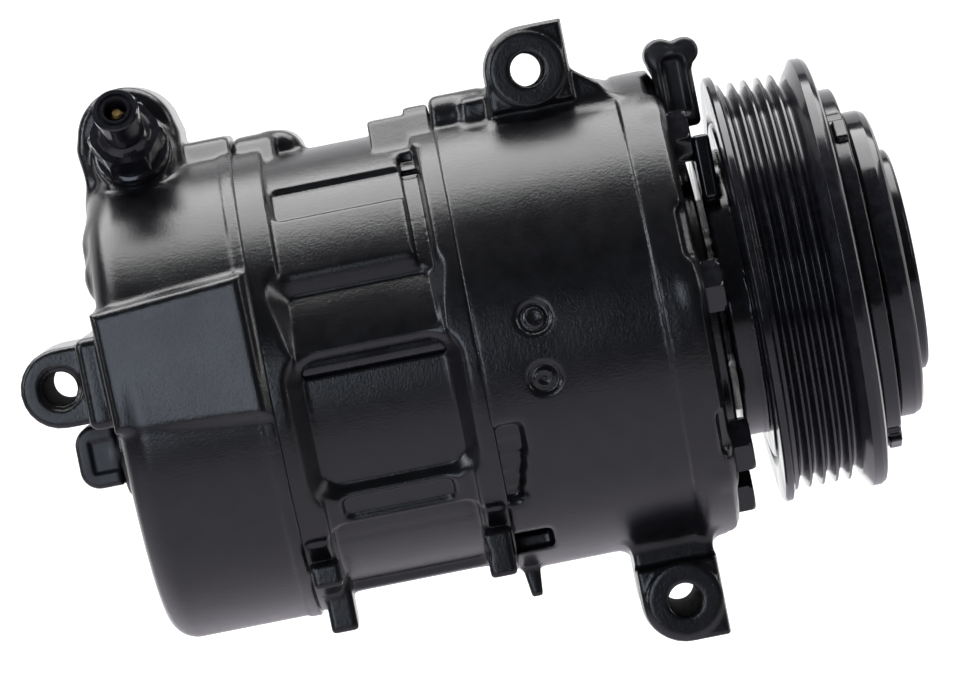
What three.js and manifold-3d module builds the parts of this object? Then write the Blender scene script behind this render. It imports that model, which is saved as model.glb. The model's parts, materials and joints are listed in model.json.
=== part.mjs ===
// Automotive air-conditioning compressor: seven-cylinder, variable-displacement swash-plate type with an
// electromagnetic clutch and a five-groove belt pulley. Millimetres. +X runs along the shaft towards the pulley,
// +Z is up, and the origin is the centre of the drive shaft's front end, level with the clutch hub's front face.
// The swash plate is drawn at its smallest displacement, square to the shaft.

import * as THREE from "three";
import { mergeVertices } from "three/addons/utils/BufferGeometryUtils.js";
import Module from "manifold-3d";

const wasm = await Module();
wasm.setup();

// ---------------------------------------------------------------- driving dimensions
const FIT = 0.3; // gap kept between touching pieces
const SIDES = { large: 32, medium: 24, small: 16, hole: 8 }; // facets round a turned body, by its size

const HOUSING = { radius: 60.3, rear: -114.3, front: -56.1, edge: 2.5, cavityRadius: 55.6, frontWall: 10 };
const NOSE = { radius: 17.4, end: -21.5, bore: 13.6, root: -52, rootRadius: 29 };
const BLOCK = { radius: 60.5, rear: -166.2, front: -114.6, bore: 12 };
const COVER = { radius: 61, rear: -205.7, front: -166.5, chamfer: 8.5, wall: 8, recess: 5, recessRadius: 55.4 };

const CYLINDERS = 7;
const STATION_STEP = (2 * Math.PI) / CYLINDERS;
const BOLT = { angle: THREE.MathUtils.degToRad(6), circle: 51, radius: 4, hole: 4.6, across: 13, head: 5.3 };
const CYLINDER = { circle: 38.5, bore: 15, angle: BOLT.angle + STATION_STEP / 2 };
const BOLT_SEAT = HOUSING.front + FIT;
const BOLT_END = -190;

const TOP_EAR = { x: -87.8, z: 67.1, radius: 10.9, right: -77.4, near: -28, far: 17 };
const LOW_EAR = { x: -74.2, z: -73.6, radius: 10.9, right: -65.1, near: -26, far: 19 };
const REAR_EAR = { x: -219.5, z: 10.8, radius: 10.2, near: -34, far: 4 };
const EAR_HOLE = 4.3;
const EAR_BOX = { left: -206.8, right: -168.5, near: -63.5, low: -3.8, high: 29.8 };

const SUCTION_PORT = { x: -184, z: 46, radius: 9.5, depth: 20 };
const DISCHARGE_PORT = { x: -184, z: 18, radius: 7.5, depth: 12 };
const PORT_PAD = { left: -197, right: -170.5, low: 4, high: 60, face: 66 };

const RELIEF = {
  base: new THREE.Vector3(-190.8, -19, 66.1),
  axis: new THREE.Vector3(-0.03, -0.89, 0.455).normalize(),
};
const LUG = { x: -191.7, z: 70, radius: 12.8, near: -12.5, far: 24 };
const CONTROL = { y: -20, z: -8.4, rear: -213, front: -176, can: 8.4, body: 6.4 };

const SHAFT = { radius: 8.2, rearJournal: 7, frontJournal: 7.2, rear: -160, thread: 5 };
const SWASH = { rear: -103, front: -97, radius: 45.5, hubRadius: 16, hubRear: -106, hubFront: -92 };
const ROTOR = { rear: -77, front: -69.5, radius: 44 };
const HINGE = { x: -87.5, z: 21, radius: 2.5, armWidth: 9, cheekOuter: 10 };
const SHOE = { radius: 6, height: 5 };

const PULLEY = { rear: -43.4, front: -16.3, flange: 56.5, ridge: 53.5, root: 50.4, rimInner: 45.3, hubOuter: 31 };
const GROOVES = { count: 5, pitch: 3.48, first: -24.2 };
const BEARING = { bore: 17.7, innerLand: 20.7, outerLand: 23.3, outer: 26, rear: -41.3, front: -22.8, pitch: 22 };
const BALL = { count: 9, radius: 2.3, groove: 2.75 };
const COIL = { inner: 32, outer: 44.4, rear: -43.8, front: -23.2, plateRear: -50.4, plateRadius: 37.5, skin: 2.4 };
const AIR_GAP = 0.6;
const ARMATURE = { radius: 47.3, inner: 24, thick: 4.4 };
const DISC = { radius: 40.3, inner: 30.3, rear: -10.4, front: -3.6 };
const CENTRE = { radius: 29, inner: 12.5, thick: 3.3 };
const RIVET = { circle: 36, radius: 2.4, count: 3 };

// ---------------------------------------------------------------- finishes
const finish = (color, roughness, metalness) => new THREE.MeshStandardMaterial({ color, roughness, metalness });
const CAST = finish(0x1b1b1e, 0.42, 0.4);
const GLOSS = finish(0x0c0c0e, 0.25, 0.5);
const STEEL = finish(0x9a9a9c, 0.35, 0.9);
const ALLOY = finish(0xb4b4b2, 0.4, 0.8);
const IRON = finish(0x5a5754, 0.5, 0.7);
const BRASS = finish(0xb08d48, 0.35, 0.9);
const COPPER = finish(0x8d4a2a, 0.4, 0.8);
const RUBBER = finish(0x151515, 0.8, 0);
const PLASTIC = finish(0x101012, 0.5, 0);
const SPRING = finish(0x6f7072, 0.35, 0.9);

// ---------------------------------------------------------------- solids
const compressor = new THREE.Group();

function addPiece(name, geometry, material, parent = compressor) {
  const mesh = new THREE.Mesh(geometry, material);
  mesh.name = name;
  parent.add(mesh);
  return mesh;
}

// A closed geometry whose shared corners are merged and whose zero-area triangles are dropped.
function closed(geometry) {
  const bare = geometry.clone();
  bare.deleteAttribute("normal");
  bare.deleteAttribute("uv");
  const merged = mergeVertices(bare, 1e-4);
  const source = merged.index.array;
  const kept = [];
  for (let i = 0; i < source.length; i += 3) {
    const [a, b, c] = [source[i], source[i + 1], source[i + 2]];
    if (a !== b && b !== c && c !== a) kept.push(a, b, c);
  }
  merged.setIndex(kept);
  return merged;
}

// Turns a closed geometry's triangles outwards when they all face in.
function facingOut(geometry) {
  const points = geometry.attributes.position;
  const index = geometry.index.array;
  const [a, b, c] = [new THREE.Vector3(), new THREE.Vector3(), new THREE.Vector3()];
  let volume = 0;
  for (let i = 0; i < index.length; i += 3) {
    a.fromBufferAttribute(points, index[i]);
    b.fromBufferAttribute(points, index[i + 1]);
    c.fromBufferAttribute(points, index[i + 2]);
    volume += a.dot(b.cross(c));
  }
  if (volume < 0) geometry.setIndex(Array.from(index).reverse());
  return geometry;
}

function toSolid(geometry) {
  const ready = facingOut(closed(geometry));
  const vertProperties = new Float32Array(ready.attributes.position.array);
  const triVerts = new Uint32Array(ready.index.array);
  return new wasm.Manifold(new wasm.Mesh({ numProp: 3, vertProperties, triVerts }));
}

function toGeometry(solid) {
  const mesh = solid.getMesh();
  const geometry = new THREE.BufferGeometry();
  geometry.setAttribute("position", new THREE.BufferAttribute(new Float32Array(mesh.vertProperties), 3));
  geometry.setIndex(new THREE.BufferAttribute(new Uint32Array(mesh.triVerts), 1));
  return geometry;
}

const joined = (solids) => solids.reduce((sum, solid) => sum.add(solid));
const cutBy = (solid, cutters) => cutters.reduce((rest, cutter) => rest.subtract(cutter), solid);

// A body turned about the shaft axis from [x, radius] points.
function turned(profile, segments = SIDES.large) {
  const points = profile.map(([x, radius]) => new THREE.Vector2(radius, x));
  const geometry = new THREE.LatheGeometry(points, segments);
  geometry.rotateZ(-Math.PI / 2);
  return facingOut(closed(geometry));
}

function ring(x0, x1, inner, outer, segments = SIDES.large) {
  return turned([[x0, inner], [x0, outer], [x1, outer], [x1, inner], [x0, inner]], segments);
}

function disc(x0, x1, radius, segments = SIDES.large) {
  return turned([[x0, 0], [x0, radius], [x1, radius], [x1, 0]], segments);
}

function block(x0, x1, y0, y1, z0, z1) {
  const geometry = new THREE.BoxGeometry(x1 - x0, y1 - y0, z1 - z0);
  geometry.translate((x0 + x1) / 2, (y0 + y1) / 2, (z0 + z1) / 2);
  return geometry;
}

// A round bar along Y between two planes.
function barAlongY(x, z, radius, y0, y1, segments = SIDES.small) {
  const geometry = new THREE.CylinderGeometry(radius, radius, y1 - y0, segments);
  geometry.translate(x, (y0 + y1) / 2, z);
  return geometry;
}

// A round bar along X between two planes.
function barAlongX(y, z, radius, x0, x1, segments = SIDES.small) {
  const geometry = new THREE.CylinderGeometry(radius, radius, x1 - x0, segments);
  geometry.rotateZ(Math.PI / 2);
  geometry.translate((x0 + x1) / 2, y, z);
  return geometry;
}

// A plate whose outline lies in the XZ plane, thick along Y.
function plateAcrossY(shape, y0, y1, curveSegments = 8) {
  const geometry = new THREE.ExtrudeGeometry(shape, { depth: y1 - y0, bevelEnabled: false, curveSegments });
  geometry.rotateX(Math.PI / 2);
  geometry.translate(0, y1, 0);
  return geometry;
}

// A piece of a ring about the shaft axis; angles are measured from -Y towards +Z.
function ringSector(x0, x1, inner, outer, from, to) {
  const shape = new THREE.Shape();
  shape.absarc(0, 0, outer, from, to, false);
  shape.absarc(0, 0, inner, to, from, true);
  const geometry = new THREE.ExtrudeGeometry(shape, { depth: x1 - x0, bevelEnabled: false, curveSegments: 8 });
  const place = new THREE.Matrix4().makeBasis(
    new THREE.Vector3(0, -1, 0),
    new THREE.Vector3(0, 0, 1),
    new THREE.Vector3(-1, 0, 0),
  );
  geometry.applyMatrix4(place);
  geometry.translate(x1, 0, 0);
  return geometry;
}

// The place round the shaft at an angle measured from -Y towards +Z.
const around = (radius, angle) => ({ y: -radius * Math.cos(angle), z: radius * Math.sin(angle) });
const boltAngles = Array.from({ length: CYLINDERS }, (_, i) => BOLT.angle + i * STATION_STEP);
const cylinderAngles = Array.from({ length: CYLINDERS }, (_, i) => CYLINDER.angle + i * STATION_STEP);

function boltHoles(x0, x1) {
  return boltAngles.map((angle) => {
    const { y, z } = around(BOLT.circle, angle);
    return toSolid(barAlongX(y, z, BOLT.hole, x0, x1, SIDES.hole));
  });
}

// Points along a line at a tilt: a straight round bar from one point to another.
function barBetween(start, direction, from, to, radius, segments = SIDES.small) {
  const geometry = new THREE.CylinderGeometry(radius, radius, to - from, segments);
  geometry.translate(0, (from + to) / 2, 0);
  geometry.applyQuaternion(new THREE.Quaternion().setFromUnitVectors(new THREE.Vector3(0, 1, 0), direction));
  geometry.translate(start.x, start.y, start.z);
  return geometry;
}

// ---------------------------------------------------------------- front housing
// An ear with a round left side, a square right side and a foot that runs into the housing.
function ear({ x, z, radius, right, near, far }, foot, slopeTo) {
  const side = Math.sign(z);
  const shape = new THREE.Shape();
  shape.moveTo(x - radius, foot);
  shape.lineTo(x - radius, z);
  shape.absarc(x, z, radius, Math.PI, Math.PI - side * (Math.PI / 2), side > 0);
  shape.lineTo(right, z + side * radius);
  shape.lineTo(right, z - side * 3);
  shape.lineTo(slopeTo, foot);
  return plateAcrossY(shape, near, far);
}

function frontHousing() {
  const { radius, rear, front, edge, cavityRadius, frontWall } = HOUSING;
  const outside = turned([
    [rear, 0], [rear, radius], [front - edge, radius], [front, radius - edge],
    [front, NOSE.rootRadius], [NOSE.root, NOSE.rootRadius], [NOSE.root, NOSE.radius],
    [NOSE.end, NOSE.radius], [NOSE.end, 0],
  ]);
  const sealSeat = -46;
  const bearingSeat = -49;
  const wallInner = front - frontWall;
  const inside = turned([
    [rear - 1, 0], [rear - 1, cavityRadius], [wallInner - 3, cavityRadius], [wallInner, cavityRadius - 4],
    [wallInner, 14.2], [bearingSeat, 14.2], [bearingSeat, 10], [sealSeat, 10],
    [sealSeat, NOSE.bore], [NOSE.end + 1, NOSE.bore], [NOSE.end + 1, 0],
  ]);
  const topEar = toSolid(ear(TOP_EAR, 48, -66));
  const lowEar = toSolid(ear(LOW_EAR, -48, LOW_EAR.right));
  const topBoss = toSolid(barAlongX(-14, 58.5, 6.2, rear, TOP_EAR.x - TOP_EAR.radius + 2));
  const lowFin = toSolid(block(rear, -108.6, -16, -8, -66.6, -52));
  const whole = joined([toSolid(outside), topEar, lowEar, topBoss, lowFin]);
  const earHoles = [TOP_EAR, LOW_EAR].map(({ x, z, near, far }) =>
    toSolid(barAlongY(x, z, EAR_HOLE, near - 1, far + 1)));
  return toGeometry(cutBy(whole, [toSolid(inside), ...earHoles, ...boltHoles(wallInner - 5, front + 1)]));
}

// ---------------------------------------------------------------- cylinder block
function cylinderBlock() {
  const { radius, rear, front, bore } = BLOCK;
  const body = toSolid(disc(rear, front, radius));
  const topPad = toSolid(block(-130.6, front, -16, 20, 50, 61.8));
  const topStep = toSolid(block(-121, front, -14, 14, 55, 63.6));
  const portTail = toSolid(block(rear, -148, -2, 28, 45, 64.2));
  const lowLug = toSolid(block(rear + 1.8, -157.4, -16, -8, -64.8, -55));
  const lowBar = toSolid(block(-119, front, -18, -6, -62.5, -54));
  const degrees = THREE.MathUtils.degToRad;
  const depth = 3.4;
  const pockets = [[-31, 3], [8.5, 21.5], [48, 58], [-72, -44], [110, 150], [170, 215]].map(([from, to]) =>
    toSolid(ringSector(-158.5, -121.5, radius - depth, radius + 12, degrees(from), degrees(to))));
  const cylinders = cylinderAngles.map((angle) => {
    const { y, z } = around(CYLINDER.circle, angle);
    return toSolid(barAlongX(y, z, CYLINDER.bore, rear - 1, front + 1, SIDES.small));
  });
  const shaftBore = toSolid(disc(rear - 1, front + 1, bore, SIDES.small));
  const whole = joined([cutBy(body, pockets), topPad, topStep, portTail, lowLug, lowBar]);
  return toGeometry(cutBy(whole, [...cylinders, shaftBore, ...boltHoles(rear - 1, front + 1)]));
}

// ---------------------------------------------------------------- rear cover
function rearEar() {
  const { x, z, radius, near, far } = REAR_EAR;
  const root = COVER.rear + 6;
  const shape = new THREE.Shape();
  shape.moveTo(root, z - radius);
  shape.lineTo(root, z + radius);
  shape.lineTo(x, z + radius);
  shape.absarc(x, z, radius, Math.PI / 2, Math.PI * 1.5, false);
  return plateAcrossY(shape, near, far);
}

function rearCover() {
  const { radius, rear, front, chamfer, wall, recess, recessRadius } = COVER;
  const body = turned([
    [rear, 0], [rear, radius - chamfer], [rear + chamfer * 0.3, radius - chamfer * 0.3],
    [rear + chamfer, radius], [front, radius], [front, 0],
  ]);
  const chamberTop = front - recess;
  const chamberEnd = rear + wall;
  const partition = { inner: 30, outer: 33.5 };
  const suction = ring(chamberEnd, chamberTop + 1, partition.outer, 45, SIDES.medium);
  const discharge = disc(chamberEnd, chamberTop + 1, partition.inner, SIDES.medium);
  const plateSeat = disc(chamberTop, front + 1, recessRadius);
  const earBox = toSolid(block(EAR_BOX.left, EAR_BOX.right, EAR_BOX.near, -30, EAR_BOX.low, EAR_BOX.high));
  const lug = toSolid(barAlongY(LUG.x, LUG.z, LUG.radius, LUG.near, LUG.far, SIDES.medium));
  const lugFoot = toSolid(block(LUG.x - LUG.radius, LUG.x + LUG.radius, LUG.near, LUG.far, 40, LUG.z));
  const portTop = toSolid(block(-187.8, front, -4, 28, 45, 65.4));
  const portPad = toSolid(block(PORT_PAD.left, PORT_PAD.right, 20, PORT_PAD.face, PORT_PAD.low, PORT_PAD.high));
  const valveBoss = toSolid(barAlongX(CONTROL.y, CONTROL.z, CONTROL.can + 3.4, -208.5, rear + 6));
  const reliefBoss = toSolid(barBetween(RELIEF.base, RELIEF.axis, -16, -FIT, 9.6));
  const whole = joined([
    toSolid(body), earBox, toSolid(rearEar()), lug, lugFoot, portTop, portPad, valveBoss, reliefBoss,
  ]);
  const portHoles = [SUCTION_PORT, DISCHARGE_PORT].map(({ x, z, radius: hole, depth }) =>
    toSolid(barAlongY(x, z, hole, PORT_PAD.face - depth, PORT_PAD.face + 1)));
  const earHole = toSolid(barAlongY(REAR_EAR.x, REAR_EAR.z, EAR_HOLE, REAR_EAR.near - 1, REAR_EAR.far + 1));
  const reliefHole = toSolid(barBetween(RELIEF.base, RELIEF.axis, -9, 1, 5));
  const controlBore = joined([
    toSolid(barAlongX(CONTROL.y, CONTROL.z, CONTROL.can + FIT, rear - 4, -196)),
    toSolid(barAlongX(CONTROL.y, CONTROL.z, CONTROL.body + FIT, -197, CONTROL.front + 1)),
  ]);
  return toGeometry(cutBy(whole, [
    toSolid(suction), toSolid(discharge), toSolid(plateSeat), ...portHoles, earHole, reliefHole, controlBore,
    ...boltHoles(BOLT_END - 1, front + 1),
  ]));
}

// ---------------------------------------------------------------- valve plate and reeds
const PLATES = { discharge: [-170.6, -169.8], plate: [-169.5, -167.9], suction: [-167.6, -166.8] };

function portHolesAt(circle, radius, x0, x1) {
  return cylinderAngles.map((angle) => {
    const { y, z } = around(circle, angle);
    return toSolid(barAlongX(y, z, radius, x0, x1, 8));
  });
}

function perforated([x0, x1], outer, holes) {
  return toGeometry(cutBy(toSolid(disc(x0, x1, outer)), [...holes, ...boltHoles(x0 - 1, x1 + 1)]));
}

function valvePlate() {
  const [x0, x1] = PLATES.plate;
  const holes = [...portHolesAt(27.5, 3, x0 - 1, x1 + 1), ...portHolesAt(40, 4, x0 - 1, x1 + 1)];
  return perforated(PLATES.plate, COVER.recessRadius - FIT, holes);
}

function suctionReed() {
  const [x0, x1] = PLATES.suction;
  const holes = [...portHolesAt(27.5, 4.2, x0 - 1, x1 + 1), toSolid(disc(x0 - 1, x1 + 1, 11, SIDES.small))];
  return perforated(PLATES.suction, COVER.recessRadius - FIT, holes);
}

// Seven fingers on a small disc, each over one discharge port.
function dischargeReed() {
  const [x0, x1] = PLATES.discharge;
  const fingers = cylinderAngles.map((angle) => {
    const finger = block(x0, x1, -29.4, -8, -3.4, 3.4);
    finger.rotateX(-angle);
    return toSolid(finger);
  });
  return toGeometry(joined([toSolid(disc(x0, x1, 12, SIDES.small)), ...fingers]));
}

// ---------------------------------------------------------------- fasteners and valves
function hexPrism(across, x0, x1) {
  const geometry = new THREE.CylinderGeometry(across / Math.sqrt(3), across / Math.sqrt(3), x1 - x0, 6);
  geometry.rotateZ(Math.PI / 2);
  geometry.translate((x0 + x1) / 2, 0, 0);
  return geometry;
}

function throughBolt() {
  const shank = toSolid(disc(BOLT_END, BOLT_SEAT + 1, BOLT.radius, SIDES.hole));
  return toGeometry(shank.add(toSolid(hexPrism(BOLT.across, BOLT_SEAT, BOLT_SEAT + BOLT.head))));
}

// Local +Y runs out of the cover; the piece is placed and tilted by its mesh.
function upright(profile, segments = SIDES.small) {
  return facingOut(closed(new THREE.LatheGeometry(profile.map(([r, y]) => new THREE.Vector2(r, y)), segments)));
}

function reliefValveBody() {
  const shell = upright([
    [0, -8], [4.6, -8], [4.6, 0.1], [9.8, 0.1], [9.8, 3.5], [8.4, 4.2], [8.4, 11], [6, 12.5], [6, 24.5], [0, 24.5],
  ]);
  const hex = new THREE.CylinderGeometry(9.6, 9.6, 7, 6);
  hex.translate(0, 7.6, 0);
  const nozzle = upright([[0, 12], [3.6, 12], [3.6, 25.5], [0, 25.5]], 12);
  return toGeometry(toSolid(shell).add(toSolid(hex)).subtract(toSolid(nozzle)));
}

const reliefPoppet = () => upright([[0, 12.5], [3.1, 12.5], [3.1, 15], [1.3, 15.6], [1.3, 22], [0, 22]], 12);

function controlValveBody() {
  const { y, z, rear, front, can, body } = CONTROL;
  const shell = joined([
    toSolid(barAlongX(y, z, can, -203.4, -197)),
    toSolid(barAlongX(y, z, body, -198, front)),
  ]);
  const bore = toSolid(barAlongX(y, z, 3.2, rear, front - 3, 16));
  return toGeometry(shell.subtract(bore));
}

// A rounded socket behind the cover, on a round stub that plugs the valve's bore.
const SOCKET = { rear: -219.2, front: -208.8, corner: 5, halfWidth: 9, halfHeight: 8.1 };

function controlValveConnector() {
  const { y, z, can } = CONTROL;
  const { rear, front, corner, halfWidth, halfHeight } = SOCKET;
  const shape = new THREE.Shape();
  shape.moveTo(front, z + halfHeight);
  shape.absarc(rear + corner, z + halfHeight - corner, corner, Math.PI / 2, Math.PI, false);
  shape.absarc(rear + corner, z - halfHeight + corner, corner, Math.PI, Math.PI * 1.5, false);
  shape.lineTo(front, z - halfHeight);
  const shell = toSolid(plateAcrossY(shape, y - halfWidth, y + halfWidth, 4));
  const stub = toSolid(barAlongX(y, z, can, front - 1, -203.7));
  const mouth = toSolid(block(rear - 1, rear + 5, y - 5.5, y + 5.5, z - 4, z + 4));
  return toGeometry(shell.add(stub).subtract(mouth));
}

// ---------------------------------------------------------------- drive train
function driveShaft() {
  const { radius, rearJournal, frontJournal, rear, thread } = SHAFT;
  return turned([
    [rear, 0], [rear, rearJournal - 1], [rear + 1, rearJournal], [-138, rearJournal], [-138, radius],
    [-48, radius], [-47, frontJournal], [-9, frontJournal], [-8, thread], [0, thread], [0, 0],
  ], SIDES.small);
}

function hingeHole(extra) {
  return toSolid(barAlongY(HINGE.x, HINGE.z, HINGE.radius + extra, -20, 20, SIDES.hole));
}

function lugPlate() {
  const plate = toSolid(ring(ROTOR.rear, ROTOR.front, SHAFT.radius + 0.5, ROTOR.radius, SIDES.medium));
  const arm = toSolid(block(-92, ROTOR.rear + 1, -HINGE.armWidth / 2, HINGE.armWidth / 2, 14.5, 27));
  return toGeometry(plate.add(arm).subtract(hingeHole(FIT)));
}

function swashPlate() {
  const plate = toSolid(ring(SWASH.rear, SWASH.front, SHAFT.radius + 0.6, SWASH.radius, SIDES.medium));
  const hub = toSolid(ring(SWASH.hubRear, SWASH.hubFront, SHAFT.radius + 0.6, SWASH.hubRadius, SIDES.medium));
  const inner = HINGE.armWidth / 2 + FIT;
  const cheeks = [[-HINGE.cheekOuter, -inner], [inner, HINGE.cheekOuter]].map(([y0, y1]) =>
    toSolid(block(SWASH.front - 1, -83.5, y0, y1, 14.5, 27)));
  return toGeometry(joined([plate, hub, ...cheeks]).subtract(hingeHole(FIT)));
}

class Helix extends THREE.Curve {
  constructor(radius, x0, x1, turns) {
    super();
    Object.assign(this, { radius, x0, x1, turns });
  }

  getPoint(t) {
    const angle = 2 * Math.PI * this.turns * t;
    const x = this.x0 + (this.x1 - this.x0) * t;
    return new THREE.Vector3(x, this.radius * Math.cos(angle), this.radius * Math.sin(angle));
  }
}

function coilSpring(radius, wire, x0, x1, turns) {
  const section = new THREE.Shape();
  section.absarc(0, 0, wire, 0, 2 * Math.PI, false);
  const extrudePath = new Helix(radius, x0 + wire, x1 - wire, turns);
  const steps = turns * 12;
  return new THREE.ExtrudeGeometry(section, { steps, curveSegments: 2, extrudePath, bevelEnabled: false });
}

// A piston stands at -Y: a round head, and a bridge over the swash plate's rim with two shoe sockets.
const PISTON = { crown: -164.6, skirt: -134, bridgeFront: -84.5, bridgeIn: 31, bridgeOut: 53.3, slotOut: 47.2 };

function piston() {
  const head = toSolid(barAlongX(-CYLINDER.circle, 0, CYLINDER.bore - FIT, PISTON.crown, PISTON.skirt));
  const halfWidth = 9;
  const { skirt, bridgeFront, bridgeOut, bridgeIn } = PISTON;
  const bridge = toSolid(block(skirt - 1, bridgeFront, -bridgeOut, -bridgeIn, -halfWidth, halfWidth));
  const trim = toSolid(barAlongX(-CYLINDER.circle, 0, CYLINDER.bore - FIT, skirt - 2, bridgeFront + 1));
  const socketRear = SWASH.rear - FIT - SHOE.height;
  const socketFront = SWASH.front + FIT + SHOE.height;
  const slot = toSolid(block(socketRear - FIT, socketFront + FIT, -PISTON.slotOut, 1 - bridgeIn, -12, 12));
  return toGeometry(head.add(bridge.intersect(trim)).subtract(slot));
}

// A shoe: flat against the swash plate, domed towards the piston.
function shoe(direction) {
  const flat = direction > 0 ? SWASH.front + FIT : SWASH.rear - FIT;
  const steps = 3;
  const profile = [[0, 0], [SHOE.radius, 0]];
  for (let i = 1; i < steps; i += 1) {
    const angle = (i / steps) * (Math.PI / 2);
    profile.push([SHOE.radius * Math.cos(angle), SHOE.height * Math.sin(angle)]);
  }
  profile.push([0, SHOE.height]);
  const geometry = turned(profile.map(([radius, x]) => [flat + direction * x, radius]), 8);
  geometry.translate(0, -CYLINDER.circle, 0);
  return geometry;
}

// ---------------------------------------------------------------- pulley and clutch
function grooveProfile() {
  const points = [];
  for (let i = 0; i < GROOVES.count; i += 1) {
    const bottom = GROOVES.first - i * GROOVES.pitch;
    points.push([bottom, PULLEY.root]);
    if (i < GROOVES.count - 1) points.push([bottom - GROOVES.pitch / 2, PULLEY.ridge]);
  }
  return points;
}

function pulley() {
  const { rear, front, flange, ridge, rimInner, hubOuter } = PULLEY;
  const web = 4.2;
  const lip = 2;
  const seat = BEARING.outer + FIT;
  return turned([
    [front, seat - lip], [front, flange - 2], [front - 1.2, flange], [front - 4.6, flange], [front - 6.2, ridge],
    ...grooveProfile(),
    [-39.2, ridge], [-40.4, ridge], [-41, flange - 0.4], [rear + 0.6, flange - 0.4], [rear, flange - 1.2],
    [rear, rimInner + 1.5], [rear + 1.5, rimInner], [front - web, rimInner], [front - web, hubOuter],
    [-41.6, hubOuter], [-41.6, seat], [BEARING.front + FIT, seat], [BEARING.front + FIT, seat - lip],
    [front, seat - lip],
  ]);
}

// A bearing ring, from its plain back to its land, with a ball groove in the land.
function groovedRing(back, land, groove) {
  const middle = (BEARING.rear + BEARING.front) / 2;
  const half = BALL.groove * 0.8;
  return turned([
    [BEARING.rear, back], [BEARING.rear, land], [middle - half, land], [middle - half / 2, groove],
    [middle + half / 2, groove], [middle + half, land], [BEARING.front, land], [BEARING.front, back],
    [BEARING.rear, back],
  ], SIDES.medium);
}

function ballCage() {
  const middle = (BEARING.rear + BEARING.front) / 2;
  const cage = toSolid(ring(middle - 3.4, middle + 3.4, BEARING.pitch - 0.7, BEARING.pitch + 0.7, SIDES.medium));
  const balls = Array.from({ length: BALL.count }, (_, i) => {
    const ball = new THREE.SphereGeometry(BALL.radius, 6, 4);
    const { y, z } = around(BEARING.pitch, (i / BALL.count) * 2 * Math.PI);
    ball.translate(middle, y, z);
    return toSolid(ball);
  });
  return toGeometry(joined([cage, ...balls]));
}

// The coil's steel cup: a mounting plate behind, two walls, and a terminal block at the upper near side.
function coilHousing() {
  const { inner, outer, rear, front, plateRear, plateRadius, skin } = COIL;
  const cup = turned([
    [plateRear, NOSE.radius + 0.6], [plateRear, plateRadius - 1], [plateRear + 1, plateRadius],
    [rear, plateRadius], [rear, outer], [front, outer], [front, outer - skin],
    [rear + 2, outer - skin], [rear + 2, inner + skin], [front, inner + skin], [front, inner], [rear, inner],
    [rear, NOSE.radius + 0.6], [plateRear, NOSE.radius + 0.6],
  ]);
  const terminal = block(plateRear, -45.8, -31, -20, 26, 42.4);
  return toGeometry(toSolid(cup).add(toSolid(terminal)));
}

const coilWinding = () => {
  const { inner, outer, rear, front, skin } = COIL;
  return ring(rear + 2 + FIT, front - 0.8, inner + skin + FIT, outer - skin - FIT);
};

// The upright connector of the coil's lead, with a two-lobed top, that stands in the gap behind the pulley.
function coilConnector() {
  const post = toSolid(block(-55.2, -46.6, -17, -3, 45, 64));
  const lobes = [[-53.4, 4.2], [-47.2, 3.6]].map(([x, radius]) => toSolid(barAlongY(x, 64, radius, -17, -3)));
  return toGeometry(joined([post, ...lobes]));
}

// The hub: a sleeve on the shaft, a flange inside the rubber ring, and the raised front plate.
function clutchHub() {
  const bore = SHAFT.frontJournal + FIT;
  const { radius, inner, thick } = CENTRE;
  return turned([
    [-30, bore], [-30, 12], [DISC.rear, 12], [DISC.rear, 22], [-thick, 22], [-thick, radius], [-1, radius],
    [0, radius - 1], [0, inner + 1], [-1, inner], [-7.7, inner], [-7.7, bore], [-30, bore],
  ], SIDES.medium);
}

// The holes are for the rivets of the return springs.
const rivetAngles = Array.from({ length: RIVET.count }, (_, i) => Math.PI / 6 + (i * 2 * Math.PI) / RIVET.count);

function armaturePlate() {
  const rear = PULLEY.front + AIR_GAP;
  const plate = toSolid(ring(rear, rear + ARMATURE.thick, ARMATURE.inner, ARMATURE.radius));
  const nubs = [70, 190, 310].map((angle) => {
    const nub = block(rear + 1, rear + ARMATURE.thick, -ARMATURE.radius - 1.4, -ARMATURE.radius + 3, -3.5, 3.5);
    nub.rotateX(-THREE.MathUtils.degToRad(angle));
    return toSolid(nub);
  });
  const holes = rivetAngles.map((angle) => {
    const { y, z } = around(RIVET.circle, angle);
    return toSolid(barAlongX(y, z, RIVET.radius + 0.4, rear - 1, rear + ARMATURE.thick + 1, 12));
  });
  return toGeometry(cutBy(joined([plate, ...nubs]), holes));
}

function outerDisc() {
  const { radius, inner, rear, front } = DISC;
  return turned([
    [rear, inner], [rear, radius - 1], [rear + 1, radius], [front - 2, radius], [front, radius - 2], [front, inner],
    [rear, inner],
  ]);
}

function hubNut() {
  const hex = toSolid(hexPrism(17, -7.3, -1));
  return toGeometry(hex.subtract(toSolid(disc(-8, 0, SHAFT.thread + FIT, SIDES.small))));
}

// ---------------------------------------------------------------- assembly
addPiece("front_housing", frontHousing(), CAST);
addPiece("cylinder_block", cylinderBlock(), CAST);
addPiece("rear_cover", rearCover(), CAST);

addPiece("valve_plate", valvePlate(), STEEL);
addPiece("suction_reed", suctionReed(), SPRING);
addPiece("discharge_reed", dischargeReed(), SPRING);

const reliefGroup = new THREE.Group();
reliefGroup.position.copy(RELIEF.base);
reliefGroup.quaternion.setFromUnitVectors(new THREE.Vector3(0, 1, 0), RELIEF.axis);
compressor.add(reliefGroup);
addPiece("relief_valve_body", reliefValveBody(), GLOSS, reliefGroup);
addPiece("relief_valve_poppet", reliefPoppet(), BRASS, reliefGroup);

addPiece("control_valve_body", controlValveBody(), STEEL);
addPiece("control_valve_spool", barAlongX(CONTROL.y, CONTROL.z, 2.8, -203, -181, 16), STEEL);
addPiece("control_valve_connector", controlValveConnector(), PLASTIC);

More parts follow.
